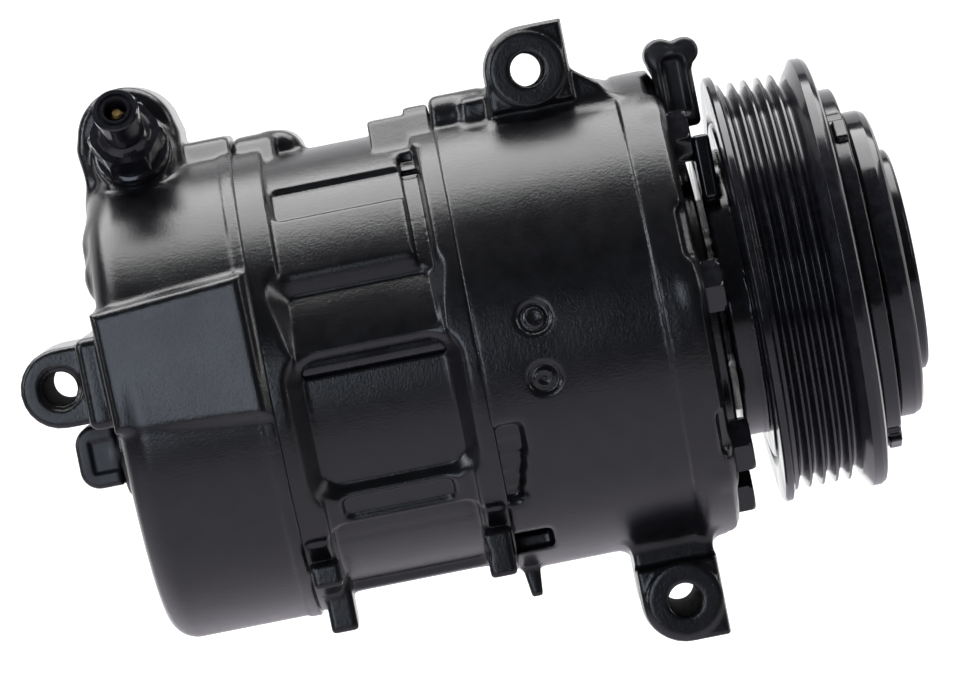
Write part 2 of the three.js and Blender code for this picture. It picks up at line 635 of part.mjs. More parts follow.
addPiece("drive_shaft", driveShaft(), STEEL);
addPiece("lug_plate", lugPlate(), IRON);
addPiece("swash_plate", swashPlate(), IRON);
addPiece("hinge_pin", barAlongY(HINGE.x, HINGE.z, HINGE.radius, -9.6, 9.6, 16), STEEL);
addPiece("destroke_spring", coilSpring(10.9, 1.1, SWASH.hubFront + FIT, ROTOR.rear - FIT, 4), SPRING);
addPiece("thrust_bearing", ring(-69.2, -66.4, 20, 30, SIDES.medium), STEEL);
addPiece("front_needle_bearing", ring(-64, -50, SHAFT.radius + 0.4, 13.8, SIDES.medium), STEEL);
addPiece("rear_needle_bearing", ring(-158, -142, SHAFT.rearJournal + 0.4, BLOCK.bore - 0.4, SIDES.small), STEEL);
addPiece("shaft_seal", ring(-45.6, -39, SHAFT.frontJournal + 0.4, NOSE.bore - 0.3, SIDES.medium), RUBBER);

for (let i = 0; i < CYLINDERS; i += 1) {
  const boltStation = new THREE.Group();
  boltStation.rotation.x = -boltAngles[i];
  compressor.add(boltStation);
  const bolt = addPiece(`through_bolt_${i + 1}`, throughBolt(), GLOSS, boltStation);
  bolt.position.y = -BOLT.circle;

  const pistonStation = new THREE.Group();
  pistonStation.rotation.x = -cylinderAngles[i];
  compressor.add(pistonStation);
  addPiece(`piston_${i + 1}`, piston(), ALLOY, pistonStation);
  addPiece(`rear_shoe_${i + 1}`, shoe(-1), STEEL, pistonStation);
  addPiece(`front_shoe_${i + 1}`, shoe(1), STEEL, pistonStation);
}

addPiece("coil_housing", coilHousing(), GLOSS);
addPiece("coil_winding", coilWinding(), COPPER);
addPiece("coil_connector", coilConnector(), PLASTIC);

addPiece("bearing_inner_ring", groovedRing(BEARING.bore, BEARING.innerLand, 19.1), STEEL);
addPiece("bearing_ball_cage", ballCage(), BRASS);
addPiece("bearing_outer_ring", groovedRing(BEARING.outer, BEARING.outerLand, 24.9), STEEL);
addPiece("pulley", pulley(), GLOSS);

addPiece("armature_plate", armaturePlate(), GLOSS);
addPiece("outer_disc", outerDisc(), GLOSS);
addPiece("damper_rubber", ring(-9.9, -3.6, 22.4, 29.9, SIDES.medium), RUBBER);
addPiece("clutch_hub", clutchHub(), GLOSS);
addPiece("hub_nut", hubNut(), STEEL);

export default compressor;
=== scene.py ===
import json
import math

import bpy
import numpy as np
from mathutils import Matrix, Vector


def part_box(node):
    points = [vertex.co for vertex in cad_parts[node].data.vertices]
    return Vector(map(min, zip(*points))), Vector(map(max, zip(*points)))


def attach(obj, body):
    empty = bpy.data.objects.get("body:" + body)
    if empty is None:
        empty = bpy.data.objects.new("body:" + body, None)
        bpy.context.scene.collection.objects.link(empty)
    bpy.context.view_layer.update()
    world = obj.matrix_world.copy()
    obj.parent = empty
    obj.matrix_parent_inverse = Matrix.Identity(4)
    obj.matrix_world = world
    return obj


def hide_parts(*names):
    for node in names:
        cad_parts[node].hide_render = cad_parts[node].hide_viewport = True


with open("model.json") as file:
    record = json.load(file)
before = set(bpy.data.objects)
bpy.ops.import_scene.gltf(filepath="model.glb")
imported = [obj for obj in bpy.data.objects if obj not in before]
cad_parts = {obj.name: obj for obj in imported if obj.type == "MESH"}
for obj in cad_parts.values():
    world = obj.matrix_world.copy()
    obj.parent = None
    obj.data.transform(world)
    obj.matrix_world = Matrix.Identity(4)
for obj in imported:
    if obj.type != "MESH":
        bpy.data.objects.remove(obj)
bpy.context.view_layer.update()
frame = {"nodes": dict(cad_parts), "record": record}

MM = 0.001
TAU = 2 * math.pi


# ---------------------------------------------------------------- places taken from the frame, in millimetres
def span(node):
    low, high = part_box(node)
    return [(a / MM, b / MM) for a, b in zip(low, high)]


HOUSING_REAR = span("front_housing")[0][0]
HOUSING_FRONT = span("through_bolt_1")[0][1] - 5.6
NOSE_END = span("front_housing")[0][1]
BLOCK_REAR, BLOCK_FRONT = span("cylinder_block")[0]
COVER_FRONT = span("rear_cover")[0][1]
COVER_REAR = -205.7
HOUSING_R, BLOCK_R, COVER_R = 60.3, 60.5, 61.0

STATIONS = 7
STEP_ANGLE = TAU / STATIONS
BOLT_ANGLE = math.radians(6)
BOLT_CIRCLE = 51.0
CYLINDER_CIRCLE = 38.5
CYLINDER_BORE = 15.0
CAVITY_R = 55.6

# Cell sizes of the grids that the rounded pieces are made on.
CASTING_STEP, COIL_STEP, CLUTCH_STEP, PLASTIC_STEP = 0.62, 0.5, 0.4, 0.3

TOP_EAR = {"x": -87.8, "z": 67.1, "r": 10.9, "right": -77.4, "near": -28.0, "far": 17.0}
LOW_EAR = {"x": -74.2, "z": -73.6, "r": 10.9, "right": -64.4, "near": -26.0, "far": 19.0}
REAR_EAR = {"x": -219.5, "z": 10.8, "r": 10.2, "near": -34.0, "far": 4.0}
EAR_HOLE = 4.3
EAR_BOSS = 9.7

LUG = {"x": -191.7, "z": 70.0, "r": 12.8, "near": -12.5, "far": 24.0}
RELIEF_BASE = Vector((-190.8, -19.0, 66.1))
RELIEF_AXIS = Vector((-0.03, -0.89, 0.455)).normalized()
VALVE = {"y": -20.0, "z": -8.4, "can": 8.4, "body": 6.4}
PORTS = {"suction": (-184.0, 46.0, 9.5, 20.0), "discharge": (-184.0, 18.0, 7.5, 12.0)}
PORT_FACE = 66.0


def around(radius, angle):
    """(y, z) of a point round the shaft, at an angle measured from -Y towards +Z."""
    return -radius * math.cos(angle), radius * math.sin(angle)


# ---------------------------------------------------------------- distance fields
POCKET_REACH = 16.0  # how far outside a casing a pocket still cuts, in millimetres


class Shape:
    """A signed distance function of millimetre grids, with the box that holds what it describes."""

    def __init__(self, distance, low, high):
        self.distance = distance
        self.low = low
        self.high = high


def edge_round(parts, soft):
    """The distance to the overlap of several slabs, with its outer edges rounded by soft."""
    parts = [p + soft for p in parts]
    outside = sum(np.maximum(p, 0) ** 2 for p in parts)
    inside = parts[0]
    for p in parts[1:]:
        inside = np.maximum(inside, p)
    return np.sqrt(outside) + np.minimum(inside, 0) - soft


def slab(v, low, high):
    return np.abs(v - (low + high) / 2) - (high - low) / 2


def box(x, y, z, soft=0.8):
    def distance(X, Y, Z):
        return edge_round([slab(X, *x), slab(Y, *y), slab(Z, *z)], soft)

    return Shape(distance, (x[0], y[0], z[0]), (x[1], y[1], z[1]))


def turned_box(x, y, z, angle, soft=0.8):
    """A box turned about the shaft axis by an angle, given where it stands at -Y."""
    c, s = math.cos(angle), math.sin(angle)

    def distance(X, Y, Z):
        V = Y * c - Z * s
        W = Y * s + Z * c
        return edge_round([slab(X, *x), slab(V, *y), slab(W, *z)], soft)

    reach = max(math.hypot(a, b) for a in y for b in z)
    return Shape(distance, (x[0], -reach, -reach), (x[1], reach, reach))


def bar_x(centre, radius, x, soft=0.8):
    cy, cz = centre

    def distance(X, Y, Z):
        return edge_round([np.sqrt((Y - cy) ** 2 + (Z - cz) ** 2) - radius, slab(X, *x)], soft)

    return Shape(distance, (x[0], cy - radius, cz - radius), (x[1], cy + radius, cz + radius))


def tube_x(inner, outer, x, soft=0.8):
    """A thick-walled tube about the shaft axis."""
    def distance(X, Y, Z):
        return edge_round([slab(np.sqrt(Y * Y + Z * Z), inner, outer), slab(X, *x)], soft)

    return Shape(distance, (x[0], -outer, -outer), (x[1], outer, outer))


def bar_y(centre, radius, y, soft=0.8):
    cx, cz = centre

    def distance(X, Y, Z):
        return edge_round([np.sqrt((X - cx) ** 2 + (Z - cz) ** 2) - radius, slab(Y, *y)], soft)

    return Shape(distance, (cx - radius, y[0], cz - radius), (cx + radius, y[1], cz + radius))


def bar_along(start, axis, radius, along, soft=0.8):
    def distance(X, Y, Z):
        dx, dy, dz = X - start.x, Y - start.y, Z - start.z
        t = dx * axis.x + dy * axis.y + dz * axis.z
        off = np.sqrt(np.maximum(dx * dx + dy * dy + dz * dz - t * t, 0))
        return edge_round([off - radius, slab(t, *along)], soft)

    ends = [start + axis * t for t in along]
    low = [min(e[i] for e in ends) - radius for i in range(3)]
    high = [max(e[i] for e in ends) + radius for i in range(3)]
    return Shape(distance, low, high)


def plate_y(outline, y, soft=0.8):
    """A plate across Y whose outline is a polygon of (x, z) corners, listed either way round."""
    points = np.array(outline, float)

    def distance(X, Y, Z):
        best = np.full(np.broadcast(X, Z).shape, 1e9, np.float32)
        inside = np.zeros(best.shape, bool)
        for (ax, az), (bx, bz) in zip(points, np.roll(points, -1, axis=0)):
            ex, ez = bx - ax, bz - az
            wx, wz = X - ax, Z - az
            t = np.clip((wx * ex + wz * ez) / (ex * ex + ez * ez), 0, 1)
            best = np.minimum(best, (wx - ex * t) ** 2 + (wz - ez * t) ** 2)
            crosses = (az > Z) != (bz > Z)
            side = wx < ex * wz / (ez if abs(ez) > 1e-9 else 1e-9)
            inside ^= crosses & side
        flat = np.sqrt(best) * np.where(inside, -1, 1)
        return edge_round([flat, slab(Y, *y)], soft)

    low = (points[:, 0].min(), y[0], points[:, 1].min())
    high = (points[:, 0].max(), y[1], points[:, 1].max())
    return Shape(distance, low, high)


def prism_x(outline, x, soft=0.4):
    """A prism along X over a convex outline of (y, z) points in clockwise order seen from -X."""
    corners = list(zip(outline, outline[1:] + outline[:1]))
    ys = [y for y, z in outline]
    zs = [z for y, z in outline]

    def distance(X, Y, Z):
        parts = [slab(X, *x)]
        for (y0, z0), (y1, z1) in corners:
            length = math.hypot(y1 - y0, z1 - z0)
            parts.append(((Y - y0) * (z1 - z0) - (Z - z0) * (y1 - y0)) / length)
        return edge_round(parts, soft)

    return Shape(distance, (x[0], min(ys), min(zs)), (x[1], max(ys), max(zs)))


def leaning(shape, x0, slope):
    """The same shape with everything behind x0 moved away from -Y in step with its distance."""
    def distance(X, Y, Z):
        return shape.distance(X, Y + (X - x0) * slope, Z)

    reach = abs(slope) * max(abs(shape.low[0] - x0), abs(shape.high[0] - x0))
    low = (shape.low[0], shape.low[1] - reach, shape.low[2])
    high = (shape.high[0], shape.high[1] + reach, shape.high[2])
    return Shape(distance, low, high)


def pocket(x, degrees, floor, radius, slope=0.5, corner=3.0, rise=0.0):
    """A hollow in a round casing: a rounded rectangle along X and round the shaft, with leaning walls."""
    a, b = (math.radians(d) for d in degrees)
    middle = (a + b) / 2
    half = radius * (b - a) / 2

    def distance(X, Y, Z):
        r = np.sqrt(Y * Y + Z * Z)
        turn = (np.arctan2(Z, -Y) - middle + math.pi) % TAU - math.pi
        sides = edge_round([slab(X, *x), np.abs(turn) * radius - half], corner)
        bed = floor + rise * (0.5 - turn * radius / half / 2)
        return np.maximum(sides - (r - bed) * slope, np.maximum(bed - r, r - radius - POCKET_REACH))

    reach = radius + POCKET_REACH
    corners = [around(q, t) for q in (floor - 2, reach) for t in np.linspace(a, b, 9)]
    low = (x[0] - 8, min(c[0] for c in corners) - 8, min(c[1] for c in corners) - 8)
    high = (x[1] + 8, max(c[0] for c in corners) + 8, max(c[1] for c in corners) + 8)
    return Shape(distance, low, high)


def ring_mark(x, angle, radius, major, minor):
    """A small torus lying on a round casing."""
    cy, cz = around(radius, angle)
    ny, nz = around(1, angle)

    def distance(X, Y, Z):
        dx, dy, dz = X - x, Y - cy, Z - cz
        h = dy * ny + dz * nz
        off = np.sqrt(np.maximum(dx * dx + dy * dy + dz * dz - h * h, 0))
        return np.sqrt((off - major) ** 2 + h * h) - minor

    reach = major + minor
    return Shape(distance, (x - reach, cy - reach, cz - reach), (x + reach, cy + reach, cz + reach))


class Field:
    """A grid of signed distances, below zero inside the piece, that shapes are blended into and out of."""

    def __init__(self, low, high, step):
        self.step = step
        self.low = np.array(low, float)
        count = np.ceil((np.array(high, float) - self.low) / step).astype(int) + 1
        axes = [self.low[i] + step * np.arange(count[i]) for i in range(3)]
        self.axes = [a.astype(np.float32) for a in axes]
        self.values = np.full(count, 50.0, np.float32)

    def _window(self, shape, margin):
        window = []
        for i, axis in enumerate(self.axes):
            first = int(np.searchsorted(axis, shape.low[i] - margin))
            last = int(np.searchsorted(axis, shape.high[i] + margin))
            window.append(slice(first, max(last, first)))
        return tuple(window)

    def _apply(self, shape, blend, sign):
        window = self._window(shape, blend + 3 * self.step)
        X = self.axes[0][window[0]][:, None, None]
        Y = self.axes[1][window[1]][None, :, None]
        Z = self.axes[2][window[2]][None, None, :]
        if 0 in (X.size, Y.size, Z.size):
            return
        new = np.asarray(shape.distance(X, Y, Z), np.float32)
        old = self.values[window] * sign
        new = np.broadcast_to(new, old.shape)
        low = np.minimum(old, new)
        if blend > 0:
            near = np.maximum(blend - np.abs(old - new), 0) / blend
            low = low - near * near * blend / 4
        self.values[window] = low * sign

    def add(self, shape, blend=0.0):
        self._apply(shape, blend, 1)

    def cut(self, shape, blend=0.0):
        self._apply(shape, blend, -1)

    def sample(self, points):
        place = (points - self.low) / self.step
        limit = np.array(self.values.shape) - 2
        cell = np.clip(np.floor(place).astype(int), 0, limit)
        t = np.clip(place - cell, 0, 1)
        total = np.zeros(len(points))
        for corner in np.ndindex(2, 2, 2):
            weight = np.prod(np.where(corner, t, 1 - t), axis=1)
            index = cell + corner
            total += weight * self.values[index[:, 0], index[:, 1], index[:, 2]]
        return total

    def gradient(self, points):
        h = self.step * 0.5
        sides = []
        for i in range(3):
            shift = np.zeros(3)
            shift[i] = h
            sides.append((self.sample(points + shift) - self.sample(points - shift)) / (2 * h))
        return np.stack(sides, axis=1)

    def surface(self):
        """Corners and quads of the zero surface, one corner to each cell that the surface crosses."""
        v = self.values
        solid = v < 0
        parts = [solid[i:i - 1 or None, j:j - 1 or None, k:k - 1 or None] for i, j, k in np.ndindex(2, 2, 2)]
        some = np.logical_or.reduce(parts)
        every = np.logical_and.reduce(parts)
        cells = np.argwhere(some & ~every)
        corner = {c: v[tuple((cells + c).T)] for c in np.ndindex(2, 2, 2)}
        total = np.zeros((len(cells), 3))
        count = np.zeros(len(cells))
        for a in corner:
            for axis in range(3):
                if a[axis]:
                    continue
                b = tuple(1 if i == axis else a[i] for i in range(3))
                crossing = (corner[a] < 0) != (corner[b] < 0)
                t = corner[a] / np.where(crossing, corner[a] - corner[b], 1)
                place = np.tile(np.array(a, float), (len(cells), 1))
                place[:, axis] = t
                total += place * crossing[:, None]
                count += crossing
        points = self.low + (cells + total / count[:, None]) * self.step
        for _ in range(2):
            slope = self.gradient(points)
            size = np.maximum((slope ** 2).sum(axis=1), 0.2)
            move = slope * (self.sample(points) / size)[:, None]
            length = np.linalg.norm(move, axis=1)[:, None]
            points -= move * np.minimum(1, 0.4 * self.step / np.maximum(length, 1e-9))
        number = np.full(some.shape, -1, np.int64)
        number[tuple(cells.T)] = np.arange(len(cells))
        quads = []
        for axis in range(3):
            here = [slice(1, -1)] * 3
            here[axis] = slice(0, -1)
            there = list(here)
            there[axis] = slice(1, None)
            first, second = solid[tuple(here)], solid[tuple(there)]
            u, w = (axis + 1) % 3, (axis + 2) % 3
            for falling in (True, False):
                edges = np.argwhere(first & ~second if falling else ~first & second)
                for i in range(3):
                    edges[:, i] += 0 if i == axis else 1
                ring = []
                for du, dw in ((1, 1), (0, 1), (0, 0), (1, 0)):
                    cell = edges.copy()
                    cell[:, u] -= du
                    cell[:, w] -= dw
                    ring.append(number[tuple(cell.T)])
                if not falling:
                    ring.reverse()
                quads.append(np.stack(ring, axis=1))
        return points, np.concatenate(quads)


# ---------------------------------------------------------------- meshes
def mesh_object(name, points, faces, matrix=None):
    """A smooth-shaded object from millimetre corners and faces of equal or mixed size."""
    points = np.asarray(points, float) * MM
    mesh = bpy.data.meshes.new(name)
    faces = [np.asarray(f, np.int32) for f in faces] if isinstance(faces, list) else faces
    if isinstance(faces, list):
        sizes = np.array([len(f) for f in faces], np.int32)
        loops = np.concatenate(faces)
    else:
        sizes = np.full(len(faces), faces.shape[1], np.int32)
        loops = faces.astype(np.int32).ravel()
    starts = np.concatenate(([0], np.cumsum(sizes)[:-1])).astype(np.int32)
    mesh.vertices.add(len(points))
    mesh.vertices.foreach_set("co", points.astype(np.float32).ravel())
    mesh.loops.add(len(loops))
    mesh.loops.foreach_set("vertex_index", loops)
    mesh.polygons.add(len(sizes))
    mesh.polygons.foreach_set("loop_start", starts)
    mesh.polygons.foreach_set("loop_total", sizes)
    mesh.polygons.foreach_set("use_smooth", np.ones(len(sizes), bool))
    mesh.update(calc_edges=True)
    mesh.validate()
    made = bpy.data.objects.new(name, mesh)
    if matrix is not None:
        made.matrix_world = matrix
    bpy.context.scene.collection.objects.link(made)
    return made


def field_object(name, field):
    points, quads = field.surface()
    return mesh_object(name, points, quads)


def fillet(profile, radius, steps=3):
    """The same closed outline with each corner cut by a short arc."""
    made = []
    count = len(profile)
    for i in range(count):
        before, here, after = (np.array(profile[(i + k) % count], float) for k in (-1, 0, 1))
        u, w = before - here, after - here
        lu, lw = np.linalg.norm(u), np.linalg.norm(w)
        cosine = np.clip(np.dot(u, w) / (lu * lw), -1, 1)
        half = math.acos(cosine) / 2
        if half > math.pi / 2 - 0.05:
            made.append(tuple(here))
            continue
        reach = min(radius / math.tan(half), lu * 0.45, lw * 0.45)
        start, end = here + u / lu * reach, here + w / lw * reach
        for s in np.linspace(0, 1, steps + 1):
            made.append(tuple(start * (1 - s) ** 2 + here * 2 * s * (1 - s) + end * s ** 2))
    return made


def turned(name, profile, segments=160, soft=0.3, steps=3):
    """A body turned about +X from a closed outline of (x, radius) corners."""
    outline = fillet(profile, soft, steps) if soft else profile
    area = sum(a[0] * b[1] - b[0] * a[1] for a, b in zip(outline, outline[1:] + outline[:1]))
    if area < 0:
        outline = outline[::-1]
    x = np.array([p[0] for p in outline])
    r = np.array([max(p[1], 0.02) for p in outline])
    angle = np.linspace(0, TAU, segments, endpoint=False)
    points = np.empty((len(outline), segments, 3))
    points[:, :, 0] = x[:, None]
    points[:, :, 1] = r[:, None] * np.cos(angle)
    points[:, :, 2] = r[:, None] * np.sin(angle)
    return mesh_object(name, points.reshape(-1, 3), grid_faces(len(outline), segments, True))


def grid_faces(rows, columns, closed_rows):
    i = np.arange(rows if closed_rows else rows - 1)
    j = np.arange(columns)
    a = i[:, None] * columns + j
    b = i[:, None] * columns + (j + 1) % columns
    c = ((i + 1) % rows)[:, None] * columns + (j + 1) % columns
    d = ((i + 1) % rows)[:, None] * columns + j
    return np.stack([a, d, c, b], axis=-1).reshape(-1, 4)


def hex_radius(across, angle):
    sector = (angle + math.pi / 6) % (math.pi / 3) - math.pi / 6
    return across / 2 / np.cos(sector)


def station_rings(stations, segments):
    """Rings of corners about +X, one to each (x, radius, across) station.

    A ring is round where across is 0, and otherwise the smaller of the circle and the hexagon.
    """
    angle = np.linspace(0, TAU, segments, endpoint=False)
    rings = []
    for x, radius, across in stations:
        r = np.full(segments, float(radius))
        if across:
            r = np.minimum(r, hex_radius(across, angle))
        rings.append(np.stack([np.full(segments, x), r * np.cos(angle), r * np.sin(angle)], axis=1))
    return np.concatenate(rings)


def stacked(name, stations, segments=144, matrix=None):
    """A solid about +X from an open list of stations, closed by a fan of faces at each end."""
    points = station_rings(stations, segments)
    count = len(stations)
    faces = list(grid_faces(count, segments, False))
    centre = len(points)
    points = np.concatenate([points, [[stations[0][0], 0, 0], [stations[-1][0], 0, 0]]])
    last = (count - 1) * segments
    for j in range(segments):
        k = (j + 1) % segments
        faces.append([centre, j, k])
        faces.append([centre + 1, last + k, last + j])
    return mesh_object(name, points, faces, matrix)


def hex_ring(name, stations, segments):
    """A ring about +X from a list of stations that closes on itself."""
    return mesh_object(name, station_rings(stations, segments), grid_faces(len(stations), segments, True))


def sharpen(piece, degrees=35):
    """Keeps flat faces flat: edges steeper than the angle are shaded sharp."""
    mesh = piece.data
    normals = np.zeros(len(mesh.polygons) * 3)
    mesh.polygons.foreach_get("normal", normals)
    normals = normals.reshape(-1, 3)
    edge_of = np.zeros(len(mesh.loops), np.int32)
    mesh.loops.foreach_get("edge_index", edge_of)
    totals = np.zeros(len(mesh.polygons), np.int32)
    mesh.polygons.foreach_get("loop_total", totals)
    face_of = np.repeat(np.arange(len(mesh.polygons)), totals)
    order = np.argsort(edge_of, kind="stable")
    e, f = edge_of[order], face_of[order]
    same = np.nonzero(e[1:] == e[:-1])[0]
    dots = (normals[f[same]] * normals[f[same + 1]]).sum(axis=1)
    sharp = np.zeros(len(mesh.edges), bool)
    sharp[e[same]] = dots < math.cos(math.radians(degrees))
    attribute = mesh.attributes.get("sharp_edge") or mesh.attributes.new("sharp_edge", "BOOLEAN", "EDGE")
    attribute.data.foreach_set("value", sharp)
    return piece


# ---------------------------------------------------------------- materials
def shader(name, color, roughness, metallic=0.0, specular=0.5):
    material = bpy.data.materials.new(name)
    material.use_nodes = True
    nodes = material.node_tree.nodes
    principled = nodes["Principled BSDF"]
    principled.inputs["Base Color"].default_value = (*color, 1)
    principled.inputs["Roughness"].default_value = roughness
    principled.inputs["Metallic"].default_value = metallic
    principled.inputs["Specular IOR Level"].default_value = specular
    return material, nodes, material.node_tree.links, principled


def noise(nodes, links, scale, detail=4.0, roughness=0.55, stretch=None):
    place = nodes.new("ShaderNodeTexCoord")
    texture = nodes.new("ShaderNodeTexNoise")
    texture.inputs["Scale"].default_value = scale
    texture.inputs["Detail"].default_value = detail
    texture.inputs["Roughness"].default_value = roughness
    if stretch:
        mapping = nodes.new("ShaderNodeMapping")
        mapping.inputs["Scale"].default_value = stretch
        links.new(place.outputs["Object"], mapping.inputs["Vector"])
        links.new(mapping.outputs["Vector"], texture.inputs["Vector"])
    else:
        links.new(place.outputs["Object"], texture.inputs["Vector"])
    return texture.outputs["Fac"]


def ranged(nodes, links, value, low, high):
    """Spreads the middle of a noise, 0.3 to 0.7, over low to high."""
    spread = nodes.new("ShaderNodeMapRange")
    spread.inputs["From Min"].default_value = 0.3
    spread.inputs["From Max"].default_value = 0.7
    spread.inputs["To Min"].default_value = low
    spread.inputs["To Max"].default_value = high
    links.new(value, spread.inputs["Value"])
    return spread.outputs["Result"]


def tinted(nodes, links, value, dark, light):
    mix = nodes.new("ShaderNodeMix")
    mix.data_type = "RGBA"
    mix.inputs["A"].default_value = (*dark, 1)
    mix.inputs["B"].default_value = (*light, 1)
    links.new(value, mix.inputs["Factor"])
    return mix.outputs["Result"]


def bumped(nodes, links, principled, layers):
    """Stacks bump layers of (height, strength, distance in metres)."""
    previous = None
    for height, strength, distance in layers:
        bump = nodes.new("ShaderNodeBump")
        bump.inputs["Strength"].default_value = strength
        bump.inputs["Distance"].default_value = distance
        links.new(height, bump.inputs["Height"])
        if previous is not None:
            links.new(previous, bump.inputs["Normal"])
        previous = bump.outputs["Normal"]
    links.new(previous, principled.inputs["Normal"])


def cast_paint(name, color, rough=(0.18, 0.26)):
    """Semi-gloss black paint over the skin of a die casting."""
    material, nodes, links, principled = shader(name, color, rough[0])
    patches = noise(nodes, links, 60, 3)
    links.new(ranged(nodes, links, patches, *rough), principled.inputs["Roughness"])
    lift = tuple(c * 1.9 + 0.002 for c in color)
    shade = tinted(nodes, links, ranged(nodes, links, noise(nodes, links, 220, 5), 0, 1), color, lift)
    links.new(shade, principled.inputs["Base Color"])
    fine = noise(nodes, links, 1600, 3, 0.65)
    coarse = noise(nodes, links, 620, 5, 0.65)
    drift = noise(nodes, links, 70, 3)
    bumped(nodes, links, principled, [
        (drift, 0.1, 0.0008), (coarse, 0.1, 0.00018), (fine, 0.7, 0.0001),
    ])
    return material


def gloss_paint(name, color, rough=(0.1, 0.2)):
    """Gloss black paint over machined or pressed steel."""
    material, nodes, links, principled = shader(name, color, rough[0])
    patches = noise(nodes, links, 90, 4)
    links.new(ranged(nodes, links, patches, *rough), principled.inputs["Roughness"])
    lift = tuple(c * 2.2 + 0.003 for c in color)
    shade = tinted(nodes, links, ranged(nodes, links, noise(nodes, links, 400, 5), 0, 1), color, lift)
    links.new(shade, principled.inputs["Base Color"])
    bumped(nodes, links, principled, [
        (noise(nodes, links, 120, 3), 0.08, 0.0004), (noise(nodes, links, 900, 3), 0.12, 0.00005),
    ])
    return material


def turned_metal(name, color, rough=(0.2, 0.38)):
    """Bare metal with fine lines left by turning, round the shaft axis."""
    material, nodes, links, principled = shader(name, color, rough[0], metallic=1.0)
    lines = noise(nodes, links, 900, 3, 0.5, (6.0, 0.4, 0.4))
    links.new(ranged(nodes, links, lines, *rough), principled.inputs["Roughness"])
    lift = tuple(min(1, c * 1.25) for c in color)
    shade = tinted(nodes, links, ranged(nodes, links, noise(nodes, links, 150, 5), 0, 1), color, lift)
    links.new(shade, principled.inputs["Base Color"])
    bumped(nodes, links, principled, [(lines, 0.12, 0.00005)])
    return material


def moulded(name, color, rough=(0.42, 0.6), scale=1400):
    """Moulded rubber, plastic or resin with a fine skin."""
    material, nodes, links, principled = shader(name, color, rough[0])
    links.new(ranged(nodes, links, noise(nodes, links, 130, 4), *rough), principled.inputs["Roughness"])
    lift = tuple(c * 1.7 + 0.004 for c in color)
    shade = tinted(nodes, links, ranged(nodes, links, noise(nodes, links, 500, 4), 0, 1), color, lift)
    links.new(shade, principled.inputs["Base Color"])
    bumped(nodes, links, principled, [(noise(nodes, links, scale, 3), 0.3, 0.00006)])
    return material


BLACK = (0.0045, 0.0045, 0.0055)
BORE_FINISH = moulded("bore_black", (0.004, 0.004, 0.004), (0.75, 0.9), 500)
BORE_FINISH.node_tree.nodes["Principled BSDF"].inputs["Specular IOR Level"].default_value = 0.05
MATERIALS = {
    "cast_black": cast_paint("cast_black", BLACK),
    "gloss_black": gloss_paint("gloss_black", (0.006, 0.006, 0.008)),
    "steel": turned_metal("steel", (0.52, 0.52, 0.53)),
    "spring_steel": turned_metal("spring_steel", (0.3, 0.31, 0.34)),
    "alloy": turned_metal("alloy", (0.62, 0.62, 0.61), (0.3, 0.45)),
    "iron": turned_metal("iron", (0.22, 0.21, 0.2), (0.4, 0.55)),
    "brass": turned_metal("brass", (0.62, 0.42, 0.16)),
    "coil_resin": moulded("coil_resin", (0.2, 0.07, 0.03)),
    "rubber": moulded("rubber", (0.014, 0.014, 0.014), (0.6, 0.8)),
    "plastic": moulded("plastic", (0.01, 0.01, 0.012), (0.28, 0.42), 700),
}


def bare_bores(piece, bores):
    """Gives the walls of through holes along Y the dull finish that gloss paint does not reach."""
    mesh = piece.data
    mesh.materials.append(MATERIALS["cast_black"])
    mesh.materials.append(BORE_FINISH)
    centres = np.zeros(len(mesh.polygons) * 3)
    mesh.polygons.foreach_get("center", centres)
    centres = centres.reshape(-1, 3) / MM
    index = np.zeros(len(mesh.polygons), np.int32)
    for ear in bores:
        off = np.hypot(centres[:, 0] - ear["x"], centres[:, 2] - ear["z"])
        index[(off < EAR_HOLE + 0.12) & (centres[:, 1] > ear["near"] + 0.5)] = 1
    mesh.polygons.foreach_set("material_index", index)


def dress(piece, body, slot, *nodes):
    """Puts a piece on its body in its finish, in the place of CAD nodes."""
    if not piece.data.materials:
        piece.data.materials.append(MATERIALS[slot])
    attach(piece, body)
    if nodes:
        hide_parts(*nodes)
    return piece


# ---------------------------------------------------------------- front housing
def bolt_angles():
    return [BOLT_ANGLE + i * STEP_ANGLE for i in range(STATIONS)]


def cylinder_angles():
    return [BOLT_ANGLE + (i + 0.5) * STEP_ANGLE for i in range(STATIONS)]


def cut_bolt_holes(field, x):
    for angle in bolt_angles():
        field.cut(bar_x(around(BOLT_CIRCLE, angle), 4.6, x, 0))


def round_arc(cx, cz, radius, start, end, count=9):
    angles = np.radians(np.linspace(start, end, count))
    return [(cx + radius * math.cos(t), cz + radius * math.sin(t)) for t in angles]


def add_ear(field, ear, web, web_near):
    """A mounting ear: a webbed plate from the casing to a round boss with a flat pad on the near side."""
    side = math.copysign(1, ear["z"])
    x, z, r, right = ear["x"], ear["z"], ear["r"], ear["right"]
    outline = [(x - r, web[-1][1])] + round_arc(x, z, r, 180, 180 - side * 90)
    outline += [(right, z + side * r)] + web
    field.add(plate_y(outline, (web_near, ear["far"]), 0.9), 4.0)
    pad = round_arc(x, z, r, 180, 180 - side * 90)
    pad += [(right, z + side * r), (right, z - side * (r - 1.5)), (x - r, z - side * (r - 1.5))]
    field.add(plate_y(pad, (ear["near"] + 0.8, web_near + 2), 0.9), 1.5)
    field.add(bar_y((x, z), EAR_BOSS, (ear["near"], web_near), 0.5), 0.8)
    field.cut(bar_y((x, z), EAR_HOLE, (ear["near"] - 3, ear["far"] + 3), 0), 0.5)


